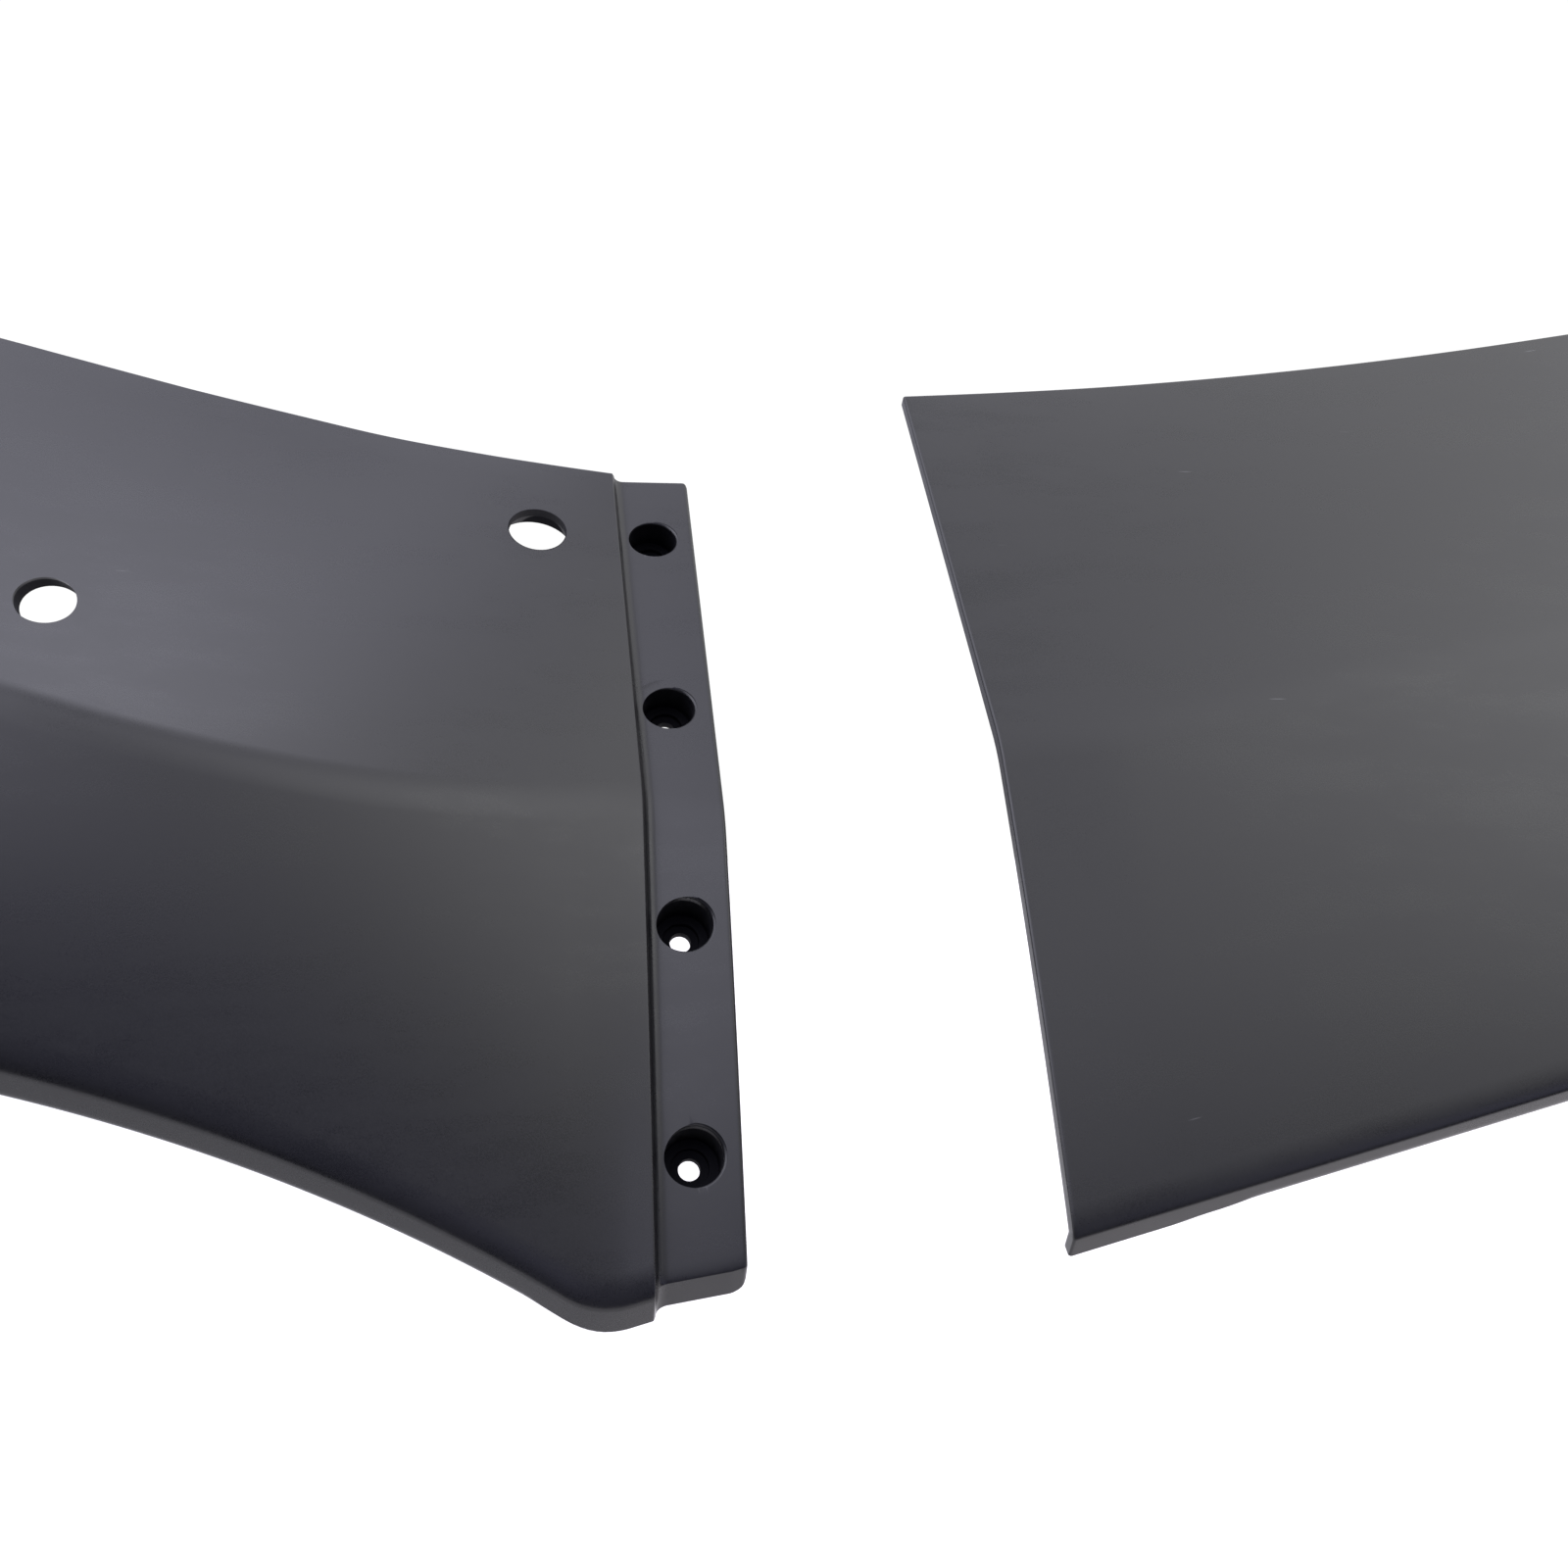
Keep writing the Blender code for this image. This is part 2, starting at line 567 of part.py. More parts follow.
def spring_nut(frame):
    """Folded strip gripping the return, its thread barrel and its hole."""
    edge, lat, ac, nr, wall = frame
    g, t = NUT_GAP, NUT_T
    prof = ((-NUT_LEG, -g - t), (1.2, -g - t), (1.5, -g - t + 0.4), (1.5, wall + g + t - 0.4), (1.2, wall + g + t),
            (-NUT_LEG, wall + g + t), (-NUT_LEG, wall + g), (0.5, wall + g), (0.5, -g), (-NUT_LEG, -g))
    body = prism([[edge + w * lat + a * ac + h * nr for a, h in prof] for w in (-NUT_W, NUT_W)])
    mid = edge - 3.9 * ac
    barrel = turned(mid, nr, ((wall + g + 0.4, 3.9), (wall + g + 5.0, 3.5)), 12)
    hole = turned(mid, nr, ((-g - t - 2, 2.4), (wall + g + 8.0, 2.4)), 12)
    through = turned(mid, nr, ((-6.0, 2.6), (wall + 3.0, 2.6)), 12)
    return body, barrel, hole, through


def rib(guides, soft):
    """Gusset across the inside of the crease."""
    line = wall_line(guides, soft, 1.5, (4, 3, 4, 3, 1, 2, 1))[2:10]
    lat = section_axes(guides)[1]
    return prism([[p + w * lat for p in line] for w in (-RIB_T, RIB_T)])


def seal(guides_list, hollows):
    """Strip along the inside of the top edge."""
    q0, q1, d0, d1 = SEAL
    shape = ((q0, d0), (q1, d0), (q1, d1 - 1.5), (q1 - 2.0, d1), (q0 + 1.5, d1), (q0, d1 - 1.5))
    loops = []
    for g, hollow in zip(guides_list, hollows):
        T, C, B = g
        size = np.linalg.norm(C - T)
        u = (C - T) / size
        n = inward(g)[0]
        loops.append([T + q * u + (d + 4.0 * hollow * (q / size) * (1.0 - q / size)) * n for q, d in shape])
    return prism(loops)


# ---- arch panel ----
rows = []
for x in (FLANGE_W, FLANGE_W - 0.3, FLANGE_W - 1.2, FLANGE_W - 3.0, 9.0, 0.4):
    g, f = guide_flange(x), soft_flange(x)
    rows.append((wall_line(g, f, RECESS, ROWS), wall_line(g, f, FLANGE_IN, ROWS)))
arc = [1.0 + k * (S_END - 1.0) / ARC_STEPS for k in range(1, ARC_STEPS + 1)]
near = [0.0, 0.012, 0.045, 0.07, 0.10, 0.13, 0.17, 0.22, 0.29, 0.38, 0.5, 0.65, 0.82, 1.0]
for s in near + arc:
    g, f = guide_arch(s), soft_arch(s)
    rows.append((wall_line(g, f, 0.0, ROWS), wall_line(g, f, FLANGE_IN if s < 0.03 else WALL, ROWS)))
arch = new_object("arch_panel", [shell(rows)], BLACK)
add, cut = [], []
for p in boss_seats():
    add.append(turned(p, BOSS_AXIS, ((1.4, BOSS_R), (BOSS_DEEP, BOSS_R)), 20))
    cut.append(turned(p, BOSS_AXIS, ((-8.0, BORE_R), (BORE_DEEP, BORE_R), (BORE_DEEP, STEP_R), (STEP_DEEP, STEP_R),
                                     (STEP_DEEP, SCREW_R), (BOSS_DEEP + 3, SCREW_R)), 20))
for (p, n), r in zip(bolt_seats(), BOLT_R):
    add.append(turned(p, n, ((1.2, PAD_R), (WALL + PAD_H, PAD_R)), 24))
    cut.append(turned(p, n, ((-6.0, r), (WALL + PAD_H + 4, r)), 24))
for s in ARCH_CLIPS:
    body, gaps = tower(guide_arch(s), upper_hollow(s))
    add.append(body)
    cut += gaps
for k in (2, 7, 12, 17):
    add.append(rib(guide_arch(arc[k - 1]), soft_arch(arc[k - 1])))
for s in ARCH_NUTS:
    cut.append(spring_nut(nut_frame(guide_arch, soft_arch, s, 0.01))[3])
carve(arch, add, cut)
runs = [0.06] + near[4:] + arc[:-1] + [S_END - 0.02]
new_object("arch_edge_seal", [seal([guide_arch(s) for s in runs], [upper_hollow(s) for s in runs])], RUBBER, smooth=False)
for k, s in enumerate(ARCH_CLIPS):
    new_object("arch_clip_" + str(k + 1), [clip(guide_arch(s))], NYLON, at=clip_seat(guide_arch(s))[0], smooth=False)
    new_object("arch_clip_washer_" + str(k + 1), [washer(guide_arch(s))], FOAM, at=clip_seat(guide_arch(s))[0], smooth=False)
for k, s in enumerate(ARCH_NUTS):
    fr = nut_frame(guide_arch, soft_arch, s, 0.01)
    body, barrel, hole, through = spring_nut(fr)
    carve(new_object("arch_spring_nut_" + str(k + 1), [body], STEEL), [barrel], [hole])

# ---- extension panel, drawn off the lap ----
stations = [EXT_START, 9.0, 18.0, 22.0, 26.0, 30.0, 34.0, 40.0, 48.0, 56.0, 75.0, 100.0, 125.0, 150.0, 175.0, 200.0, 220.0,
            240.0, 260.0, 280.0, 300.0, 318.0, 335.0, 350.0, 364.0, 377.0, EXT_LEN]


def moved(part):
    return [p + APART for p in part[0]], part[1]


rows = []
for x in stations:
    g, f = guide_panel(x), soft_ext(x)
    rows.append((wall_line(g, f, 0.0, EXT_ROWS), wall_line(g, f, WALL, EXT_ROWS)))
ext = new_object("extension_panel", [moved(shell(rows))], BLACK)
add, cut = [], []
for x in EXT_CLIPS:
    body, gaps = tower(guide_panel(x))
    add.append(moved(body))
    cut += [moved(g) for g in gaps]
for x in (100.0, 200.0, 300.0):
    add.append(moved(rib(guide_panel(x), soft_ext(x))))
for x in EXT_NUTS:
    cut.append(moved(spring_nut(nut_frame(guide_panel, soft_ext, x, 1.0))[3]))
carve(ext, add, cut)
runs = [24.0] + stations[6:-1] + [EXT_LEN - 4.0]
new_object("extension_edge_seal", [moved(seal([guide_panel(x) for x in runs], [0.0] * len(runs)))], RUBBER, smooth=False)
for k, x in enumerate(EXT_CLIPS):
    seat = clip_seat(guide_panel(x))[0] + APART
    new_object("extension_clip_" + str(k + 1), [moved(clip(guide_panel(x)))], NYLON, at=seat, smooth=False)
    new_object("extension_clip_washer_" + str(k + 1), [moved(washer(guide_panel(x)))], FOAM, at=seat, smooth=False)
for k, x in enumerate(EXT_NUTS):
    body, barrel, hole, through = spring_nut(nut_frame(guide_panel, soft_ext, x, 1.0))
    carve(new_object("extension_spring_nut_" + str(k + 1), [moved(body)], STEEL), [moved(barrel)], [moved(hole)])
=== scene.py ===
import math

import bmesh
import bpy
import numpy as np
from mathutils import Matrix, Vector

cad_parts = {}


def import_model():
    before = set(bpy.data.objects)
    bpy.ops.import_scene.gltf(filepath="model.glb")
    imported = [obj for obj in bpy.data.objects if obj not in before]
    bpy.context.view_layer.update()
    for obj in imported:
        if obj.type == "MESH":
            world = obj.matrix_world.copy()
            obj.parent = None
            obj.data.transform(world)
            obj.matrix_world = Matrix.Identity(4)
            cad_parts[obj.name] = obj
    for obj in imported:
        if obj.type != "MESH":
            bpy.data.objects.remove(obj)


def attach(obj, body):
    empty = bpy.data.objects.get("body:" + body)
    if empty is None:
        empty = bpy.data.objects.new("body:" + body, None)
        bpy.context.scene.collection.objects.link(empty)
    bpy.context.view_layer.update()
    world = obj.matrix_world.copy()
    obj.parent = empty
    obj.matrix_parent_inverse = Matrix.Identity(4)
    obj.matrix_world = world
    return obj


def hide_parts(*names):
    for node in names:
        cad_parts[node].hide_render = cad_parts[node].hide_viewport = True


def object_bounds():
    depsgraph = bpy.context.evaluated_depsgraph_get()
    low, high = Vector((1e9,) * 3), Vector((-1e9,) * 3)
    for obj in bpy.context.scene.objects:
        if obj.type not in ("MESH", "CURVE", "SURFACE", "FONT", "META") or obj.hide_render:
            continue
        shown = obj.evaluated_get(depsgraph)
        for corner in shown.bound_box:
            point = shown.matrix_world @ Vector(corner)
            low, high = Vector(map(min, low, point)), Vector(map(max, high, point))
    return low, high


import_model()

cad_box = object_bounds()
scene = bpy.context.scene

# Driving dimensions in millimetres, in the joint frame: X along the panels with 0 at the joint line,
# +Y into the vehicle, +Z up with 0 at the top edge of the joint.
WHEEL_X, WHEEL_Z = -223.0, -491.0      # centre of the wheel opening
R_LIP = 370.0                          # radius of the wheel opening
LIP_Z0 = -184.6                        # lip height of the arch panel at the joint
LIP_Z0_EXT = -186.0                    # lip height of the extension panel at the joint
LIP_SLOPE = 0.235                      # rise of the straight lip along the extension
LIP_FILLET = 16.0                      # corner between wheel opening and straight lip
Y_LIP = -104.5
Y_CREASE, Z_CREASE = -66.0, -84.5
Z_CREASE_EXT, CREASE_SLOPE = -91.7, 0.2123   # straight crease of the extension panel
BELLY, HOLLOW = 1.2, 5.0               # outward bow of the face below the crease, and hollow of the arch panel's face above it
WALL = 3.0
RECESS = 3.4                           # lap flange set back from the outer face
FLANGE_IN = 6.2                        # depth of the lap flange's inner face
FLANGE_W = 18.0
BAND, RETURN = 7.5, 14.0               # lip face and inward return
CREASE_SOFT = 5.0                      # rounding of the crease, each way from its corner
LIP_TILT = -35.0                       # elevation of the lip face's normal, degrees
THETA_IN, THETA_END = 14.0, -78.0      # wheel arc from its start near the joint to the leg's end, degrees
TURN = 60.0                            # degrees of wheel arc per unit of run
S_END = 1.0 + (THETA_IN - THETA_END) / TURN
EXT_START, EXT_LEN = 3.0, 390.0        # extension panel from its joint end to its tip
APART = (70.4, -25.6, 15.4)            # extension panel drawn off the lap, as stored
JOINT_LEAN, JOINT_BOW = -1.9, 0.9      # joint line's run at the top edge and at the crease
PANEL_LEAN, PANEL_BOW = -3.4, -1.2     # the same for the extension panel's end
PANEL_RISE = 1.5                       # extension panel's top edge above the lap flange's plain line

# (angle from the top of the wheel, value) along the arch
TOP_R = ((14, 521.6), (13.3, 521.38), (10.4, 522.0), (7.9, 523.7), (0, 531.5), (-12, 539.5), (-30, 541), (-50, 528), (-65, 508),
         (-78, 486))
CREASE_R = ((14, 438.3), (13, 438.7), (8, 440.1), (0, 440.6), (-30, 439.5), (-60, 434), (-78, 428))
CREASE_Y = ((14, -97), (0, -101), (-25, -101), (-50, -90), (-65, -78), (-78, -66))
# (x, height) of the top edge between the joint and the start of the wheel arc
TOP_Z = ((0, 0), (-16, 1.65), (-33.5, 3.65), (-58, 7.2), (-82, 12.0), (-96.81, 15.107))
LIP_Y = ((14, -108), (0, -110), (-25, -110), (-50, -102), (-65, -92), (-78, -82))

# lap screw bosses: run along X, then distance from the top edge (upper face) or from the crease (lower face)
BOSSES = ((7.5, 0, 22.3), (8.2, 0, 79.4), (8.7, 1, 26.4), (8.5, 1, 75.0))
BOSS_TILT = 29.0                       # elevation of the screw axes, degrees
BOSS_R, BOSS_DEEP = 8.0, 12.5
BORE_R, BORE_DEEP = 6.0, 9.2           # counterbore
STEP_R, STEP_DEEP = 4.0, 10.4
SCREW_R = 2.3
# body bolt holes: run of the arch panel and distance from the top edge
BOLTS = ((0.205, 27.2), (1.0175, 93.1))
BOLT_R, PAD_R, PAD_H = (7.0, 6.1), 12.0, 2.5


def ease(t):
    t = min(1.0, max(0.0, t))
    return t * t * (3 - 2 * t)


def vec(*a):
    return np.array(a, float)


def keyed(keys, t):
    """Smooth curve through keys whose first column falls."""
    ts = [float(k[0]) for k in keys]
    vs = [float(k[1]) for k in keys]
    n = len(ts)
    sl = [(vs[i + 1] - vs[i]) / (ts[i + 1] - ts[i]) for i in range(n - 1)]
    m = [sl[0]] + [(sl[i - 1] + sl[i]) / 2 for i in range(1, n - 1)] + [sl[-1]]
    t = min(ts[0], max(ts[-1], t))
    i = 0
    while i < n - 2 and t < ts[i + 1]:
        i += 1
    h = ts[i + 1] - ts[i]
    x = (t - ts[i]) / h
    return ((1 + 2 * x) * (1 - x) ** 2 * vs[i] + x * (1 - x) ** 2 * h * m[i]
            + x * x * (3 - 2 * x) * vs[i + 1] + x * x * (x - 1) * h * m[i + 1])


def lip_corner():
    """Centre of the lip's corner fillet and its touching points on the straight lip and the wheel arc, (x, z)."""
    m, n = LIP_SLOPE, math.hypot(1, LIP_SLOPE)
    k = LIP_Z0 + LIP_FILLET * n - WHEEL_Z
    rr = R_LIP + LIP_FILLET
    a, b, c = 1 + m * m, 2 * (m * k - WHEEL_X), WHEEL_X ** 2 + k * k - rr * rr
    fx = (-b + math.sqrt(b * b - 4 * a * c)) / (2 * a)
    fz = LIP_Z0 + m * fx + LIP_FILLET * n
    on_line = (fx + LIP_FILLET * m / n, fz - LIP_FILLET / n)
    on_arc = (WHEEL_X + (fx - WHEEL_X) * R_LIP / rr, WHEEL_Z + (fz - WHEEL_Z) * R_LIP / rr)
    return (fx, fz), on_line, on_arc


def lip_run(frac):
    """(x, z) on the lip: frac 0 at the joint, 1 where the plain wheel arc starts, by length."""
    (fx, fz), lp, ap = lip_corner()
    l1 = math.hypot(lp[0], lp[1] - LIP_Z0)
    a0 = math.atan2(lp[1] - fz, lp[0] - fx)
    a1 = math.atan2(ap[1] - fz, ap[0] - fx)
    if a1 > a0:
        a1 -= 2 * math.pi
    l2 = LIP_FILLET * (a0 - a1)
    th1 = math.atan2(ap[0] - WHEEL_X, ap[1] - WHEEL_Z)
    l3 = R_LIP * (th1 - math.radians(THETA_IN))
    s = frac * (l1 + l2 + l3)
    if s < l1:
        return lp[0] * s / l1, LIP_Z0 + (lp[1] - LIP_Z0) * s / l1
    if s < l1 + l2:
        a = a0 - (s - l1) / LIP_FILLET
        return fx + LIP_FILLET * math.cos(a), fz + LIP_FILLET * math.sin(a)
    th = th1 - (s - l1 - l2) / R_LIP
    return WHEEL_X + R_LIP * math.sin(th), WHEEL_Z + R_LIP * math.cos(th)


def crease_fall(x):
    """Height of the extension panel's crease before the panel tapers, seated."""
    return Z_CREASE_EXT + CREASE_SLOPE * x + 2.6 * (1.0 - ease(x / 30.0))


def guide_ext(x, lean=JOINT_LEAN, bow=JOINT_BOW, fade=26.0, fall=crease_fall):
    """Top edge, crease and lip of the section shared by the lap flange and the extension panel, seated."""
    wrap = 0.0009 * max(0.0, x - 170.0) ** 2
    out = 1.0 - 0.45 * ease((x - 190.0) / 240.0)
    tall = math.sqrt(1.0 - 0.80 * (max(0.0, x - 220.0) / 190.0) ** 2)
    zb = LIP_Z0_EXT + LIP_SLOPE * x
    top = 0.08 * x + 0.00031 * x * x
    zt, zc = zb + (top - zb) * tall, zb + (fall(x) - zb) * tall
    yc = Y_CREASE * (top - fall(x)) / (top - Z_CREASE - 0.15 * x)
    return (vec(x + lean * (1.0 - ease(x / fade)), wrap, zt),
            vec(x + bow * (1.0 - ease(x / 60.0)), yc * out + wrap, zc), vec(x, Y_LIP * out + wrap, zb))


def raised(guides, rise):
    """The same section with its top edge slid up its own face."""
    T, C, B = guides
    return T + (T - C) * rise / (T[2] - C[2]), C, B


def guide_flange(x):
    """Lap flange: the top edge falls slightly and its corner is rounded; the lip rises towards the step."""
    t = max(0.0, x - FLANGE_W + 1.2) / 1.2
    near = guide_ext(x, fall=lambda q: Z_CREASE + (crease_fall(FLANGE_W) - Z_CREASE) * q / FLANGE_W)
    T, C, B = raised(near, 0.6 - 0.083 * x - 1.2 * (1.0 - math.sqrt(max(0.0, 1.0 - t * t))))
    e = math.radians(LIP_TILT)
    along = C - B - BAND * vec(0, math.sin(e), math.cos(e))
    return T, C, B + along * 1.5 * max(0.0, 1.0 - x / 15.0) / np.linalg.norm(along)


def guide_panel(x):
    """Extension panel, seated."""
    return raised(guide_ext(x, PANEL_LEAN, PANEL_BOW, 60.0), PANEL_RISE)


def guide_arch(s):
    """Top edge, crease and lip of the arch panel: run 0 at the joint, 1 at the wheel arc's start, S_END at the leg's end."""
    if s <= 1.0:
        k = 1.0 - ease(s / 0.5)
        t = 96.81 * s
        top = vec(-t + JOINT_LEAN * k, 0, keyed(TOP_Z, -t))
        t = 116.97 * s
        crease = vec(-t + JOINT_BOW * k, Y_CREASE - 57.4 * s + 26.4 * s * s,
                     Z_CREASE - 0.0497 * t + 0.002149 * t * t - 0.000003 * t ** 3)
        x, z = lip_run(s)
        return top, crease, vec(x, Y_LIP - 3.5 * s, z)
    th = THETA_IN - (s - 1.0) * TURN
    sn, cs = math.sin(math.radians(th)), math.cos(math.radians(th))

    def at(r, y):
        return vec(WHEEL_X + r * sn, y, WHEEL_Z + r * cs)
    return at(keyed(TOP_R, th), 0), at(keyed(CREASE_R, th), keyed(CREASE_Y, th)), at(R_LIP, keyed(LIP_Y, th))


def soft_ext(x):
    """Crease softness above and below, tilt of the return's normal, the return's length, trim of the lip face,
    lip bend's lengths."""
    k = ease((x - 22.0) / 12.0)
    return (CREASE_SOFT, CREASE_SOFT, LIP_TILT + (-90.0 - LIP_TILT) * k, 0.5 + (RETURN - 0.5) * ease((x - 32.0) / 24.0),
            2.5, 5.5, 1.1)


def soft_flange(x):
    t = max(0.0, x - FLANGE_W + 3.0) / 3.0
    return CREASE_SOFT, CREASE_SOFT, LIP_TILT, 0.5, 3.0 * (1.0 - math.sqrt(max(0.0, 1.0 - t * t))) - 1.1, 4.8, 2.2


def upper_hollow(s):
    """Hollow of the arch panel's upper face, growing from none at the joint."""
    return HOLLOW * ease(s / 1.1)


def soft_arch(s):
    k = ease((s - 0.06) / 0.08)
    return (CREASE_SOFT, CREASE_SOFT, LIP_TILT + (-90.0 - LIP_TILT) * k,
            0.5 + (RETURN - 0.5) * ease((s - 0.13) / 0.17), 0.0, 6.0, 1.9, upper_hollow(s))


def section_axes(guides):
    """Up direction of a section in the side plane, and the direction across it."""
    T, C, B = guides
    up = (T - B) * vec(1, 0, 1)
    up /= np.linalg.norm(up)
    return up, vec(up[2], 0, -up[0])


def lip_point(guides, soft):
    """Outer bend between the lip face and its return."""
    e = math.radians(LIP_TILT)
    return guides[2] + soft[4] * (math.cos(e) * section_axes(guides)[0] + vec(0, math.sin(e), 0))


def polygon(guides, soft, depth):
    """Corner points of one wall line at a depth below the outer face, and the fillet lengths at each corner."""
    T, C, B = guides
    up, lat = section_axes(guides)
    er, eb = math.radians(soft[2]), math.radians(LIP_TILT)
    t, b1 = vec((T - B) @ up, T[1]), vec(0, B[1])
    c, wc = vec((C - B) @ up, C[1]), (C - B) @ lat
    face = vec(math.cos(eb), math.sin(eb))
    b0, b1 = b1 + BAND * face, b1 + soft[4] * face
    b2 = b1 + soft[3] * vec(-math.cos(er), -math.sin(er))
    p = [t, c, b0, b1, b2]
    d = [(p[i + 1] - p[i]) / np.linalg.norm(p[i + 1] - p[i]) for i in range(4)]
    nrm = [vec(q[1], -q[0]) for q in d]
    out = [p[0] + depth * nrm[0]]
    for i in range(1, 4):
        out.append(p[i] + depth * (nrm[i - 1] + nrm[i]) / (1 + nrm[i - 1] @ nrm[i]))
    out.append(p[4] + depth * nrm[3])
    half = [math.tan(math.acos(max(-1.0, min(1.0, float(d[i] @ d[i + 1])))) / 2) for i in range(3)]
    base = B * vec(1, 0, 1)
    pts = [base + q[0] * up + vec(0, q[1], 0) + w * lat for q, w in zip(out, (0, wc, 0, 0, 0))]
    cut = [depth * h for h in half]
    ar = min(1.6, 0.45 * soft[3])
    fil = [(max(1.0, soft[0] - cut[0]), max(1.0, soft[1] - cut[0])),
           (max(1.0, soft[5] - cut[1]), max(0.2, soft[6] - cut[1])),
           (max(0.15, ar - cut[2]), max(0.15, ar - cut[2]))]
    return pts, fil


def below_crease(guides, p, q):
    """Point of the bowed face below the crease, q along it from the crease's corner; p holds a wall line's corners."""
    size = np.linalg.norm(p[2] - p[1])
    d = (p[2] - p[1]) / size
    out = np.cross(section_axes(guides)[1], d)
    out /= np.linalg.norm(out) if out[1] < 0 else -np.linalg.norm(out)
    return p[1] + q * d + 4.0 * BELLY * (q / size) * (1.0 - q / size) * out


def above_crease(guides, top, crease, q, hollow):
    """Point of the hollow face above the crease, q along it from the top edge."""
    size = np.linalg.norm(crease - top)
    d = (crease - top) / size
    out = np.cross(section_axes(guides)[1], d)
    out /= np.linalg.norm(out) if out[1] < 0 else -np.linalg.norm(out)
    return top + q * d - 4.0 * hollow * (q / size) * (1.0 - q / size) * out


def wall_line(guides, soft, depth, n):
    """Points of one wall line from the top edge to the free edge of the return; n counts the pieces of each stretch."""
    p, fil = polygon(guides, soft, depth)
    hollow = soft[7] if len(soft) > 7 else 0.0
    reach = np.linalg.norm(p[1] - p[0]) - fil[0][0]
    d = [(p[i + 1] - p[i]) / np.linalg.norm(p[i + 1] - p[i]) for i in range(4)]
    q0, q1 = fil[0][1], np.linalg.norm(p[2] - p[1]) - fil[1][0]
    out = []
    start = p[0]
    for i in range(3):
        a = p[i + 1] - fil[i][0] * d[i]
        if i == 0:
            a = above_crease(guides, p[0], p[1], reach, hollow)
        elif i == 1:
            a = below_crease(guides, p, q1)
        b = p[i + 1] + fil[i][1] * d[i + 1] if i != 0 else below_crease(guides, p, q0)
        k = n[2 * i]
        if i == 0:
            out += [above_crease(guides, p[0], p[1], reach * j / k, hollow) for j in range(k)]
        elif i == 1:
            out += [below_crease(guides, p, q0 + (q1 - q0) * j / k) for j in range(k)]
        else:
            out += [start + (a - start) * j / k for j in range(k)]
        k = n[2 * i + 1]
        for j in range(k):
            t = j / k
            out.append((1 - t) ** 2 * a + 2 * t * (1 - t) * p[i + 1] + t * t * b)
        start = b
    k = n[6]
    out += [start + (p[4] - start) * j / k for j in range(k + 1)]
    return np.array(out)


def inward(guides):
    """Inward normals of the upper and of the lower face, in the section's own plane."""
    up, lat = section_axes(guides)
    pts, fil = polygon(guides, (CREASE_SOFT, CREASE_SOFT, LIP_TILT, 1.0, 0.0, 6.0, 1.9), 0.0)
    res = []
    for a, b in ((pts[0], pts[1]), (pts[1], pts[2])):
        d = vec((b - a) @ up, b[1] - a[1])
        d /= np.linalg.norm(d)
        res.append(d[1] * up + vec(0, -d[0], 0))
    return res


def boss_seats():
    """Centre on the lap flange's outer face of each screw boss."""
    res = []
    for x, part, along in BOSSES:
        guides = guide_flange(x)
        pts, fil = polygon(guides, soft_flange(x), RECESS)
        if part:
            p = below_crease(guides, pts, along)
        else:
            p = pts[0] + (pts[1] - pts[0]) * along / np.linalg.norm(pts[1] - pts[0])
        res.append(vec(x, p[1], p[2]))
    return res


BOSS_AXIS = (0.0, math.cos(math.radians(BOSS_TILT)), -math.sin(math.radians(BOSS_TILT)))


def face_frame(s, along):
    """Point on the arch panel's upper outer face and the true inward normal there."""
    def at(r, q):
        guides = guide_arch(r)
        return above_crease(guides, guides[0], guides[1], q, upper_hollow(r))
    p = at(s, along)
    n = np.cross(at(s + 0.01, along) - p, at(s, along + 1.0) - p)
    n /= np.linalg.norm(n)
    if n[1] < 0:
        n = -n
    return p, n


def bolt_seats():
    """Centre on the upper face and inward axis of each body bolt hole."""
    return [face_frame(s, along) for s, along in BOLTS]


PAD_AT = bolt_seats()[0][0] + bolt_seats()[0][1] * (WALL + PAD_H)


# ------------------------------------------------------------------ camera, as in the photo
def world(p):
    return tuple((np.asarray(p, float) - PAD_AT) / 1000.0)


cam_data = bpy.data.cameras.new("camera")
cam_data.lens, cam_data.sensor_width = 33.75, 36.0
cam_data.clip_start, cam_data.clip_end = 0.01, 60.0
cam = bpy.data.objects.new("camera", cam_data)
cam.location = world((-24.7, -387.2, -81.6))
cam.rotation_euler = (math.radians(90.0), 0.0, math.radians(-10.0))
scene.collection.objects.link(cam)
scene.camera = cam

# ------------------------------------------------------------------ mesh helpers (points in millimetres, joint frame)
N_ROWS = (14, 9, 22, 12, 3, 6, 4)      # points along each stretch of a wall line
EDGE = 0.55                            # rounding of moulded edges
STEP_X, STEP_RUN, STEP_RISE = 0.3, 2.4, 1.9   # hollow at the foot of the step down to the lap flange
APART = vec(*APART)
Y = vec(0, 1, 0)
BOLT_RUN = (vec(0.0, 0.956, -0.292), vec(0.098, 0.921, -0.378))   # axes of the body bolt holes
OVAL = (vec(-5.66, -1.116, 0.724), vec(0.653, -6.76, -5.318))    # half axes of the second hole's mouth, on the face
OVAL_AT = vec(-0.043, 0.282, 0.227)
OVAL_FOOT = vec(-0.285, 0.952, 0.111)
ARCH_CLIPS = (0.56, 1.27, 1.62, 1.97, 2.32)
EXT_CLIPS = (70.0, 165.0, 262.0)
CLIP_DROP = 26.0
TOWER_W, TOWER_T, TOWER_TOP = 10.0, 9.0, -5.0
ARCH_NUTS = (1.15, 1.57, 1.98, 2.37)
EXT_NUTS = (125.0, 290.0)
NUT_W, NUT_GAP, NUT_T, NUT_LEG = 7.0, 0.45, 1.0, 8.0
RIB_T = 1.1
SEAL = (1.2, 10.0, 3.3, 7.6)
ARC_STEPS = 20


def unit(v):
    return v / np.linalg.norm(v)


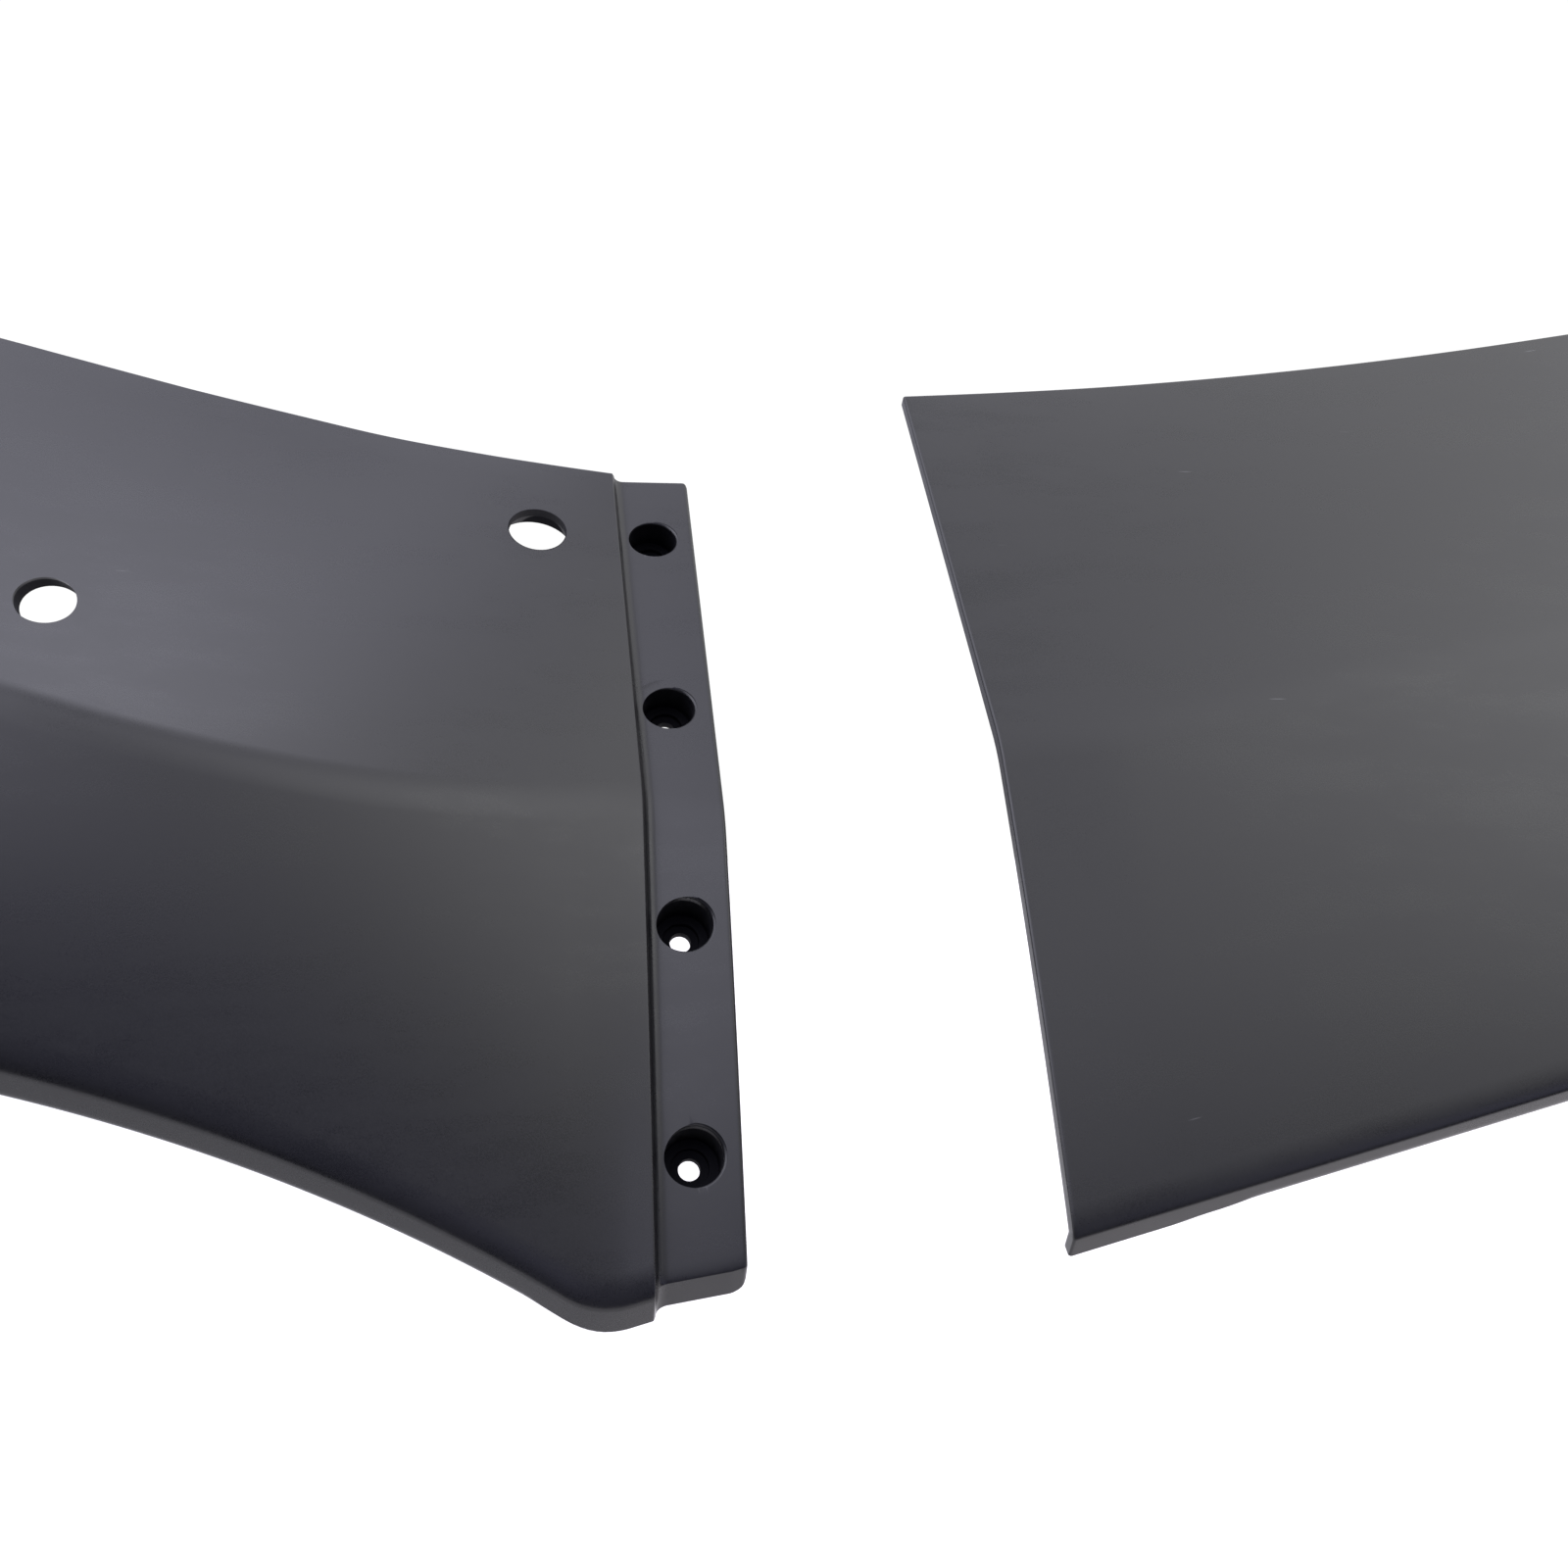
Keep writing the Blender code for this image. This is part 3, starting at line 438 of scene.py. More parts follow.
def mesh_object(name, parts):
    """One object from (points, faces) parts, facing outward, smooth."""
    bm = bmesh.new()
    for pts, faces in parts:
        vs = [bm.verts.new(world(p)) for p in pts]
        for f in faces:
            bm.faces.new([vs[i] for i in f])
    bmesh.ops.recalc_face_normals(bm, faces=bm.faces)
    for f in bm.faces:
        f.smooth = True
    me = bpy.data.meshes.new(name)
    bm.to_mesh(me)
    bm.free()
    ob = bpy.data.objects.new(name, me)
    scene.collection.objects.link(ob)
    return ob


def applied(ob):
    """Replace an object's mesh by its evaluated mesh and drop its modifiers."""
    bpy.context.view_layer.update()
    done = bpy.data.meshes.new_from_object(ob.evaluated_get(bpy.context.evaluated_depsgraph_get()))
    ob.modifiers.clear()
    old = ob.data
    ob.data = done
    done.name = ob.name
    bpy.data.meshes.remove(old)
    return ob


def softened(ob, width, angle=40.0, segments=2):
    """Round the sharp edges of a small solid."""
    m = ob.modifiers.new("round", "BEVEL")
    m.width, m.segments, m.limit_method, m.angle_limit = width / 1000.0, segments, "ANGLE", math.radians(angle)
    return applied(ob)


def in_triangles(ob):
    bm = bmesh.new()
    bm.from_mesh(ob.data)
    bmesh.ops.triangulate(bm, faces=bm.faces)
    bm.to_mesh(ob.data)
    bm.free()
    return ob


def carve(ob, add, cut):
    """Weld solids to an object, then take solids away from it."""
    in_triangles(ob)
    for label, op, tools in (("add", "UNION", add), ("cut", "DIFFERENCE", cut)):
        for k, tool in enumerate(tools):
            in_triangles(tool)
            mod = ob.modifiers.new(label + str(k), "BOOLEAN")
            mod.operation, mod.solver, mod.object = op, "EXACT", tool
    applied(ob)
    for tool in list(add) + list(cut):
        me = tool.data
        bpy.data.objects.remove(tool, do_unlink=True)
        bpy.data.meshes.remove(me)
    bm = bmesh.new()
    bm.from_mesh(ob.data)
    bmesh.ops.remove_doubles(bm, verts=bm.verts, dist=0.000004)
    bmesh.ops.dissolve_degenerate(bm, edges=bm.edges, dist=0.000003)
    bm.to_mesh(ob.data)
    bm.free()
    return ob


def dressed(ob, angle=32.0):
    """Smooth shading that keeps flat faces flat."""
    for p in ob.data.polygons:
        p.use_smooth = True
    ob.data.set_sharp_from_angle(angle=math.radians(angle))
    m = ob.modifiers.new("normals", "WEIGHTED_NORMAL")
    m.mode, m.weight, m.keep_sharp = "FACE_AREA", 60, True
    return applied(ob)


def prism(loops):
    n = len(loops[0])
    pts = [p for l in loops for p in l]
    faces = [tuple(range(n)), tuple((len(loops) - 1) * n + k for k in range(n))[::-1]]
    for r in range(len(loops) - 1):
        for k in range(n):
            j = (k + 1) % n
            faces.append((r * n + k, r * n + j, (r + 1) * n + j, (r + 1) * n + k))
    return pts, faces


def rounded(points, r, steps=3, closed=False):
    """Polyline with each corner turned into a short arc; r is one radius or one per point."""
    p = [np.asarray(q, float) for q in points]
    n = len(p)
    rs = [r] * n if not hasattr(r, "__len__") else list(r)
    out = []
    for i in range(n):
        if not closed and i in (0, n - 1):
            out.append(p[i])
            continue
        a, b, c = p[i - 1], p[i], p[(i + 1) % n]
        la, lc = np.linalg.norm(a - b), np.linalg.norm(c - b)
        k = min(rs[i], 0.45 * la, 0.45 * lc)
        if k < 1e-6:
            out.append(b)
            continue
        s, e = b + (a - b) * k / la, b + (c - b) * k / lc
        for j in range(steps + 1):
            t = j / steps
            out.append((1 - t) ** 2 * s + 2 * t * (1 - t) * b + t * t * e)
    return out


def turned(at, axis, profile, seg):
    """Solid of revolution; profile holds (distance along the axis, radius)."""
    axis = unit(np.asarray(axis, float))
    e1 = unit(np.cross(axis, vec(1, 0, 0) if abs(axis[0]) < 0.9 else vec(0, 0, 1)))
    e2 = np.cross(axis, e1)
    ring = [(math.cos(2 * math.pi * k / seg), math.sin(2 * math.pi * k / seg)) for k in range(seg)]
    return prism([[at + h * axis + r * (c * e1 + s * e2) for c, s in ring] for h, r in profile])


def oval(at, run, keys, seg=80):
    """Oval prism with a mouth on the face; keys hold (distance along run, scale)."""
    ring = [math.cos(2 * math.pi * k / seg) * OVAL[0] + math.sin(2 * math.pi * k / seg) * OVAL[1] for k in range(seg)]
    return prism([[at + h * run + g * q for q in ring] for h, g in keys])


def brick(at, axes, lo, hi):
    c = [at + x * axes[0] + y * axes[1] + z * axes[2] for z in (lo[2], hi[2])
         for x, y in ((lo[0], lo[1]), (hi[0], lo[1]), (hi[0], hi[1]), (lo[0], hi[1]))]
    return prism([c[:4], c[4:]])


# ------------------------------------------------------------------ moulded shells
def edge_arc(p, back, depth, ru, rd, lift):
    """Points of a rounded edge at the end of a wall line."""
    return [p + (lift + ru * (1 - math.sin(a))) * back + rd * (1 - math.cos(a)) * depth
            for a in (math.radians(q) for q in (30, 60, 90))]


def section(guides, soft, d0, d1, e=0.0, n=N_ROWS):
    """Closed loop round a wall between two depths, with rounded edges; e draws the whole loop in."""
    o, i = wall_line(guides, soft, d0 + e, n), wall_line(guides, soft, d1 - e, n)
    r = max(EDGE - e, 0.03)
    dn = unit(i[0] - o[0])
    arcs = []
    for line, sg in ((o, 1.0), (i, -1.0)):
        p, back = line[0].copy(), unit(line[1] - line[0])
        top = edge_arc(p, back, sg * dn, r, r, e)
        line[0] = p + (r + e) * back
        k = n[6]
        root, p = line[-1 - k].copy(), line[-1].copy()
        span = np.linalg.norm(p - root)
        back = (root - p) / span
        en = unit(i[-1] - o[-1]) if sg > 0 else en
        ru, le = min(r, 0.4 * span), min(e, 0.3 * span)
        end = edge_arc(p, back, sg * en, ru, r, le)
        tip = p + (ru + le) * back
        for j in range(k + 1):
            line[-1 - k + j] = root + (tip - root) * j / k
        arcs.append((top, end))
    # outer line down, round the free edge, inner line up, round the top edge
    return (list(o) + arcs[0][1] + arcs[1][1][::-1] + list(i)[::-1] + arcs[1][0] + arcs[0][0][::-1]), len(o)


def loft(sections):
    """Closed shell through equal loops, capped with strips of quads."""
    n = sections[0][1]
    w = len(sections[0][0])
    pts = [p for s in sections for p in s[0]]
    faces = []
    for r in range(len(sections) - 1):
        a, b = r * w, (r + 1) * w
        for j in range(w):
            k = (j + 1) % w
            faces.append((a + j, a + k, b + k, b + j))
    for base, flip in ((0, False), ((len(sections) - 1) * w, True)):
        caps = []
        for j in range(n - 1):
            caps.append((base + j, base + j + 1, base + 2 * n + 4 - j, base + 2 * n + 5 - j))
        caps.append(tuple(base + n - 1 + j for j in range(8)))
        caps.append(tuple([base + 2 * n + 5 + j for j in range(7)] + [base]))
        faces += [c[::-1] if flip else c for c in caps]
    return pts, faces


def shifted(part, by):
    return [p + by for p in part[0]], part[1]


def quarter(steps):
    return [math.radians(90.0 * k / steps) for k in range(steps + 1)]


def flange_and_arch():
    out = []
    r = 0.8
    for a in reversed(quarter(6)):
        x = FLANGE_W - r + r * math.sin(a)
        out.append(section(guide_flange(x), soft_flange(x), RECESS, FLANGE_IN, min(r * (1 - math.cos(a)), EDGE - 0.03)))
    for x in (16.9, 16.5, 16.0, 15.5, 15.0, 14.2, 13.4, 12.4, 10.8, 9.2, 7.6, 6.0, 5.0, 4.2, 3.6):
        out.append(section(guide_flange(x), soft_flange(x), RECESS, FLANGE_IN))
    # soft hollow at the foot of the step, then its face and its crisp upper edge
    for a in quarter(8):
        x = STEP_X + STEP_RUN * (1 - math.sin(a))
        out.append(section(guide_flange(x), soft_flange(x), RECESS - STEP_RISE * (1 - math.cos(a)), FLANGE_IN))
    r = 0.32
    for a in quarter(5):
        s = 0.001 + r * (1 - math.cos(a)) / 105.0
        out.append(section(guide_arch(s), soft_arch(s), r * (1 - math.sin(a)), FLANGE_IN))
    runs = [0.008, 0.013, 0.018, 0.024, 0.030, 0.036, 0.042, 0.048]
    s = 0.056
    while s < 0.999:
        runs.append(s)
        s += 0.011 if s < 0.36 else 0.02
    runs.append(1.0)
    steps = 84
    runs += [1.0 + k * (S_END - 1.0) / steps for k in range(1, steps)]
    for s in runs:
        inner = FLANGE_IN + (WALL - FLANGE_IN) * ease((s - 0.012) / 0.033)
        out.append(section(guide_arch(s), soft_arch(s), 0.0, inner))
    for a in quarter(4):
        s = S_END - (EDGE - EDGE * math.sin(a)) / 420.0
        out.append(section(guide_arch(s), soft_arch(s), 0.0, WALL, min(EDGE * (1 - math.cos(a)), EDGE - 0.03)))
    return loft(out)


def extension():
    out = []
    for a in reversed(quarter(4)):
        x = EXT_START + EDGE - EDGE * math.sin(a)
        out.append(section(guide_panel(x), soft_ext(x), 0.0, WALL, min(EDGE * (1 - math.cos(a)), EDGE - 0.03)))
    x = EXT_START + 1.2
    while x < EXT_LEN - 1.0:
        out.append(section(guide_panel(x), soft_ext(x), 0.0, WALL))
        x += 1.2 if x < 8 else (2.0 if x < 64 else (4.5 if x < 300 else 3.0))
    for a in quarter(4):
        x = EXT_LEN - EDGE + EDGE * math.sin(a)
        out.append(section(guide_panel(x), soft_ext(x), 0.0, WALL, min(EDGE * (1 - math.cos(a)), EDGE - 0.03)))
    return loft(out)


# ------------------------------------------------------------------ features on the shells
def clip_seat(guides):
    T, C, B = guides
    up, lat = section_axes(guides)
    p = T + (C - T) * (CLIP_DROP / (T[1] - C[1]))
    slope = (T[1] - C[1]) / ((T - C) @ up)
    return p * vec(1, 0, 1) + T[1] * Y, lat, up, slope


def tower(name, guides, by, hollow=0.0):
    base, lat, up, slope = clip_seat(guides)
    low, top = [], []
    for l, h in ((-TOWER_W, -TOWER_T), (TOWER_W, -TOWER_T), (TOWER_W, TOWER_T), (-TOWER_W, TOWER_T)):
        q = base + l * lat + h * up
        f = (CLIP_DROP - slope * h) / (guides[0][1] - guides[1][1])
        sink = (1.5 + 4.0 * hollow * f * (1.0 - f)) * math.hypot(1, slope)
        low.append(q + (-CLIP_DROP + slope * h + sink) * Y)
        top.append(q + TOWER_TOP * Y)
    ax = (lat, Y, up)
    body = softened(mesh_object(name, [shifted(prism([low, top]), by)]), 0.7)
    pocket = mesh_object(name + "_pocket", [shifted(brick(base, ax, (-7.6, -9.5, -TOWER_T - 3), (7.6, -7.0, 7.6)), by)])
    slot = mesh_object(name + "_slot", [shifted(brick(base, ax, (-3.3, -7.4, -TOWER_T - 3), (3.3, -4.0, 3.3)), by)])
    return body, softened(pocket, 0.35), softened(slot, 0.35)


def rib(name, guides, soft, by):
    line = wall_line(guides, soft, 1.5, (4, 9, 2, 3, 1, 2, 1))[2:15]
    lat = section_axes(guides)[1]
    return softened(mesh_object(name, [shifted(prism([[p + w * lat for p in line] for w in (-RIB_T, RIB_T)]), by)]), 0.4)


def nut_frame(guide, soft, s, step):
    B = lip_point(guide(s), soft(s))
    lat = unit(guide(s + step)[2] - guide(s - step)[2])
    if lat[0] < 0:
        lat = -lat
    across = unit(Y - (Y @ lat) * lat)
    nrm = np.cross(lat, across)
    up, side = section_axes(guide(s))
    wall = WALL * abs(nrm @ up)
    return B + RETURN * Y, lat, across, nrm if nrm[2] > 0 else -nrm, wall


def spring_nut(name, fr, by):
    edge, lat, ac, nr, wall = fr
    g, t = NUT_GAP, NUT_T
    outer = rounded([(-NUT_LEG - 0.0, -g - t), (1.5, -g - t), (1.5, wall + g + t), (-NUT_LEG, wall + g + t)], 1.5, 6)
    inner = rounded([(-NUT_LEG, wall + g), (0.5, wall + g), (0.5, -g), (-NUT_LEG, -g)], 0.6, 6)
    prof = outer + inner
    body = mesh_object(name, [shifted(prism([[edge + w * lat + a * ac + h * nr for a, h in prof] for w in (-NUT_W, NUT_W)]), by)])
    softened(body, 0.22, 50.0)
    mid = edge - 3.9 * ac
    barrel = mesh_object(name + "_b", [shifted(turned(mid, nr, rounded([(wall + g + 0.4, 3.9), (wall + g + 1.6, 3.9), (wall + g + 5.0, 3.5),
                                                                       (wall + g + 5.0, 2.0)], (0, 0.6, 0.5, 0)), 40), by)])
    coils = []
    for k in range(19):
        h = -g - t - 1.0 + k * 0.5
        coils.append((h, 2.4 if k % 2 else 2.1))
    hole = mesh_object(name + "_h", [shifted(turned(mid, nr, coils, 32), by)])
    carve(body, [barrel], [hole])
    return dressed(body, 40.0)


def seal(name, guides_list, hollows, by):
    q0, q1, d0, d1 = SEAL
    prof = rounded([(q0, d0), (q1, d0), (q1, d1 - 1.6), (q1 - 2.2, d1), (q0 + 1.7, d1), (q0, d1 - 1.6)],
                   (0.4, 0.4, 1.2, 1.6, 1.6, 1.2), 4, True)
    loops = []
    for g, hollow in zip(guides_list, hollows):
        T, C, B = g
        size = np.linalg.norm(C - T)
        u = (C - T) / size
        n = inward(g)[0]
        loops.append([T + q * u + (d + 4.0 * hollow * (q / size) * (1.0 - q / size)) * n for q, d in prof])
    return dressed(softened(mesh_object(name, [shifted(prism(loops), by)]), 0.3, 60.0), 45.0)


def clip(name, guides, by):
    base = clip_seat(guides)[0]
    prof = rounded([(-9.1, 3.2), (-9.1, 6.6), (-8.7, 7.0), (-7.4, 7.0), (-7.4, 2.9), (0.9, 2.9), (1.3, 4.3), (1.7, 4.3), (4.6, 2.7),
                    (4.6, 2.3), (5.0, 4.2), (5.4, 4.2), (8.4, 2.5), (8.4, 2.2), (8.8, 3.9), (9.2, 3.9), (12.6, 1.5), (13.0, 0.8)],
                   (0, 0.4, 0.3, 0.3, 0.5, 0.4, 0.15, 0.15, 0.2, 0.2, 0.15, 0.15, 0.2, 0.2, 0.15, 0.15, 0.4, 0), 2)
    ob = mesh_object(name, [shifted(turned(base, Y, prof, 40), by)])
    dimple = mesh_object(name + "_d", [shifted(turned(base, Y, rounded([(-10.0, 2.6), (-8.6, 2.4), (-8.6, 0.4)], 0.4), 32), by)])
    return dressed(carve(ob, [], [dimple]), 38.0)


def washer(name, guides, by):
    base = clip_seat(guides)[0]
    seg, h0, h1, r0, r1 = 48, -4.7, -2.2, 3.3, 7.5
    ring = rounded([(h0, r0), (h0, r1), (h1, r1), (h1, r0)], (0.3, 0.5, 0.5, 0.3), 3, True)
    m = len(ring)
    pts, faces = [], []
    for k in range(seg):
        d = vec(math.cos(2 * math.pi * k / seg), 0, math.sin(2 * math.pi * k / seg))
        pts += [base + h * Y + r * d for h, r in ring]
    for k in range(seg):
        a, b = m * k, m * ((k + 1) % seg)
        for j in range(m):
            i = (j + 1) % m
            faces.append((a + j, a + i, b + i, b + j))
    return dressed(mesh_object(name, [shifted((pts, faces), by)]), 40.0)


def mouth(r, lip):
    """Profile of a hole's rounded mouth: (depth below the face, radius)."""
    return [(-4.0, r + 1.45 * lip), (-0.25 * lip, r + 1.45 * lip), (0.28 * lip, r + 0.52 * lip), (0.75 * lip, r + 0.14 * lip)]


made = {}
zero = vec(0, 0, 0)

# ---- arch panel ----
arch = mesh_object("arch_panel_fine", [flange_and_arch()])
add, cut = [], []
for k, p in enumerate(boss_seats()):
    boss = rounded([(1.4, BOSS_R + 0.6), (4.2, BOSS_R), (BOSS_DEEP, BOSS_R), (BOSS_DEEP, SCREW_R - 0.5)], (0, 0.8, 0.5, 0), 3)
    add.append(mesh_object("boss%d" % k, [turned(p, BOSS_AXIS, boss, 56)]))
    bore = rounded([(-9.0, BORE_R), (BORE_DEEP, BORE_R), (BORE_DEEP, STEP_R), (STEP_DEEP, STEP_R), (STEP_DEEP, SCREW_R), (BOSS_DEEP + 3, SCREW_R)],
                   (0, 0.35, 0.15, 0.2, 0.15, 0), 3)
    bore = mesh_object("bore%d" % k, [turned(p, BOSS_AXIS, bore, 72)])
    upper, lower = inward(guide_ext(BOSSES[k][0]))
    rim = mouth(BORE_R, 0.4) + [(1.0, BORE_R - 0.15)]
    cut.append(carve(bore, [mesh_object("rim%d" % k, [turned(p, lower if BOSSES[k][1] else upper, rim, 72)])], []))
for k, ((p, n), r) in enumerate(zip(bolt_seats(), BOLT_R)):
    pad = rounded([(1.2, PAD_R), (WALL + PAD_H, PAD_R), (WALL + PAD_H, r - 1.5)], (0, 0.5, 0), 3)
    add.append(mesh_object("pad%d" % k, [turned(p, n, pad, 64)]))
    # the hole runs with the mould, so it leans against the face; its foot opens out through the pad
    lean = float(n @ unit(BOLT_RUN[k]))
    if k == 0:
        bore = mesh_object("bolt%d" % k, [turned(p, BOLT_RUN[k], ((-9.0, r), ((WALL + r * math.sqrt(1.0 - lean * lean)) / lean + 0.2, r)), 80)])
        foot = mesh_object("foot%d" % k, [turned(p, n, ((WALL - 0.5, 7.4), (WALL + 0.2, 9.3), (WALL + PAD_H + 4, 9.5)), 64)])
    else:
        # this one is drawn out along the slope, and its foot runs out through the pad's upper side
        run = unit(BOLT_RUN[k])
        bore = mesh_object("bolt%d" % k, [oval(p + OVAL_AT, run, ((-9.0, 1.0), ((WALL + PAD_H + 2.0) / lean, 1.0)))])
        low = p + OVAL_AT + (WALL - 0.1) / lean * run
        foot = mesh_object("foot%d" % k, [oval(low, unit(OVAL_FOOT), ((0.0, 1.05), ((PAD_H + 2.6) / float(n @ unit(OVAL_FOOT)), 1.05)))])
    cut.append(carve(bore, [foot], []))
for k, s in enumerate(ARCH_CLIPS):
    body, pocket, slot = tower("tower%d" % k, guide_arch(s), zero, upper_hollow(s))
    add.append(body)
    cut += [pocket, slot]
arc = [1.0 + k * (S_END - 1.0) / ARC_STEPS for k in range(1, ARC_STEPS + 1)]
for k in (2, 7, 12, 17):
    add.append(rib("rib%d" % k, guide_arch(arc[k - 1]), soft_arch(arc[k - 1]), zero))
for k, s in enumerate(ARCH_NUTS):
    edge, lat, ac, nr, wall = nut_frame(guide_arch, soft_arch, s, 0.01)
    cut.append(mesh_object("through%d" % k, [turned(edge - 3.9 * ac, nr, ((-6.0, 2.6), (wall + 3.0, 2.6)), 32)]))
carve(arch, add, cut)
made["arch_panel"] = dressed(arch)

fine = [0.06 + k * 0.94 / 24 for k in range(25)] + [1.0 + k * (S_END - 1.02) / 60 for k in range(1, 61)]
made["arch_edge_seal"] = seal("arch_edge_seal_fine", [guide_arch(s) for s in fine], [upper_hollow(s) for s in fine], zero)
for k, s in enumerate(ARCH_CLIPS):
    made["arch_clip_%d" % (k + 1)] = clip("arch_clip_fine_%d" % (k + 1), guide_arch(s), zero)
    made["arch_clip_washer_%d" % (k + 1)] = washer("arch_clip_washer_fine_%d" % (k + 1), guide_arch(s), zero)
for k, s in enumerate(ARCH_NUTS):
    made["arch_spring_nut_%d" % (k + 1)] = spring_nut("arch_spring_nut_fine_%d" % (k + 1), nut_frame(guide_arch, soft_arch, s, 0.01), zero)

# ---- extension panel ----
ext = mesh_object("extension_panel_fine", [shifted(extension(), APART)])
add, cut = [], []
for k, x in enumerate(EXT_CLIPS):
    body, pocket, slot = tower("etower%d" % k, guide_panel(x), APART)
    add.append(body)
    cut += [pocket, slot]
for k, x in enumerate((100.0, 200.0, 300.0)):
    add.append(rib("erib%d" % k, guide_panel(x), soft_ext(x), APART))
for k, x in enumerate(EXT_NUTS):
    edge, lat, ac, nr, wall = nut_frame(guide_panel, soft_ext, x, 1.0)
    cut.append(mesh_object("ethrough%d" % k, [shifted(turned(edge - 3.9 * ac, nr, ((-6.0, 2.6), (wall + 3.0, 2.6)), 32), APART)]))
carve(ext, add, cut)
made["extension_panel"] = dressed(ext)
fine = [24.0 + k * (EXT_LEN - 28.0) / 90 for k in range(91)]
made["extension_edge_seal"] = seal("extension_edge_seal_fine", [guide_panel(x) for x in fine], [0.0] * len(fine), APART)
for k, x in enumerate(EXT_CLIPS):
    made["extension_clip_%d" % (k + 1)] = clip("extension_clip_fine_%d" % (k + 1), guide_panel(x), APART)
    made["extension_clip_washer_%d" % (k + 1)] = washer("extension_clip_washer_fine_%d" % (k + 1), guide_panel(x), APART)
for k, x in enumerate(EXT_NUTS):
    made["extension_spring_nut_%d" % (k + 1)] = spring_nut("extension_spring_nut_fine_%d" % (k + 1), nut_frame(guide_panel, soft_ext, x, 1.0), APART)


# ------------------------------------------------------------------ materials
def new_material(name):
    m = bpy.data.materials.new(name)
    m.use_nodes = True
    nt = m.node_tree
    return m, nt, nt.nodes["Principled BSDF"]


def node(nt, kind, ins=None, **props):
    n = nt.nodes.new(kind)
    for k, v in props.items():
        setattr(n, k, v)
    for k, v in (ins or {}).items():
        if hasattr(v, "is_output"):
            nt.links.new(v, n.inputs[k])
        else:
            n.inputs[k].default_value = v
    return n


def place(nt, rotation=(0, 0, 0), scale=(1, 1, 1), location=(0, 0, 0)):
    c = node(nt, "ShaderNodeTexCoord")
    m = node(nt, "ShaderNodeMapping", {"Vector": c.outputs["Object"], "Rotation": rotation, "Scale": scale, "Location": location})
    return m.outputs["Vector"]


def noise(nt, vector, scale, detail=3.0, rough=0.5):
    return node(nt, "ShaderNodeTexNoise", {"Vector": vector, "Scale": scale, "Detail": detail, "Roughness": rough}).outputs["Fac"]


def ramp(nt, value, a, b, lo=0.0, hi=1.0):
    """Smooth step from lo to hi as value goes from a to b."""
    n = node(nt, "ShaderNodeMapRange", {"Value": value, "From Min": a, "From Max": b, "To Min": lo, "To Max": hi})
    n.interpolation_type = "SMOOTHSTEP"
    return n.outputs["Result"]


def math_node(nt, op, a, b, c=0.12):
    return node(nt, "ShaderNodeMath", {0: a, 1: b, 2: c}, operation=op).outputs[0]


def flecks(nt, vector, scale, reach, share):
    """1 inside sparse spots: one spot per cell, in a share of the cells."""
    v = node(nt, "ShaderNodeTexVoronoi", {"Vector": vector, "Scale": scale, "Randomness": 1.0})
    spot = ramp(nt, v.outputs["Distance"], reach, reach * 0.35)
    pick = node(nt, "ShaderNodeSeparateColor", {"Color": v.outputs["Color"]}).outputs["Red"]
    return math_node(nt, "MULTIPLY", spot, math_node(nt, "GREATER_THAN", pick, 1.0 - share))


def mixed(nt, fac, a, b):
    n = node(nt, "ShaderNodeMix", data_type="RGBA")
    for k, v in ((0, fac), (6, a), (7, b)):
        if hasattr(v, "is_output"):
            nt.links.new(v, n.inputs[k])
        else:
            n.inputs[k].default_value = v if k == 0 else (*v, 1.0)
    return n.outputs[2]


def inside(nt, at, axis, radius, depth):
    """1 within a drilled hole: nearer its axis than radius and deeper than depth, in metres."""
    p = node(nt, "ShaderNodeVectorMath", {0: node(nt, "ShaderNodeTexCoord").outputs["Object"], 1: at}, operation="SUBTRACT").outputs[0]
    away = node(nt, "ShaderNodeVectorMath", {0: node(nt, "ShaderNodeVectorMath", {0: p, 1: axis}, operation="CROSS_PRODUCT").outputs[0]},
                operation="LENGTH").outputs["Value"]
    down = node(nt, "ShaderNodeVectorMath", {0: p, 1: axis}, operation="DOT_PRODUCT").outputs["Value"]
    return math_node(nt, "MULTIPLY", ramp(nt, away, radius + 0.0003, radius + 0.0001), ramp(nt, down, depth, depth + 0.0004))


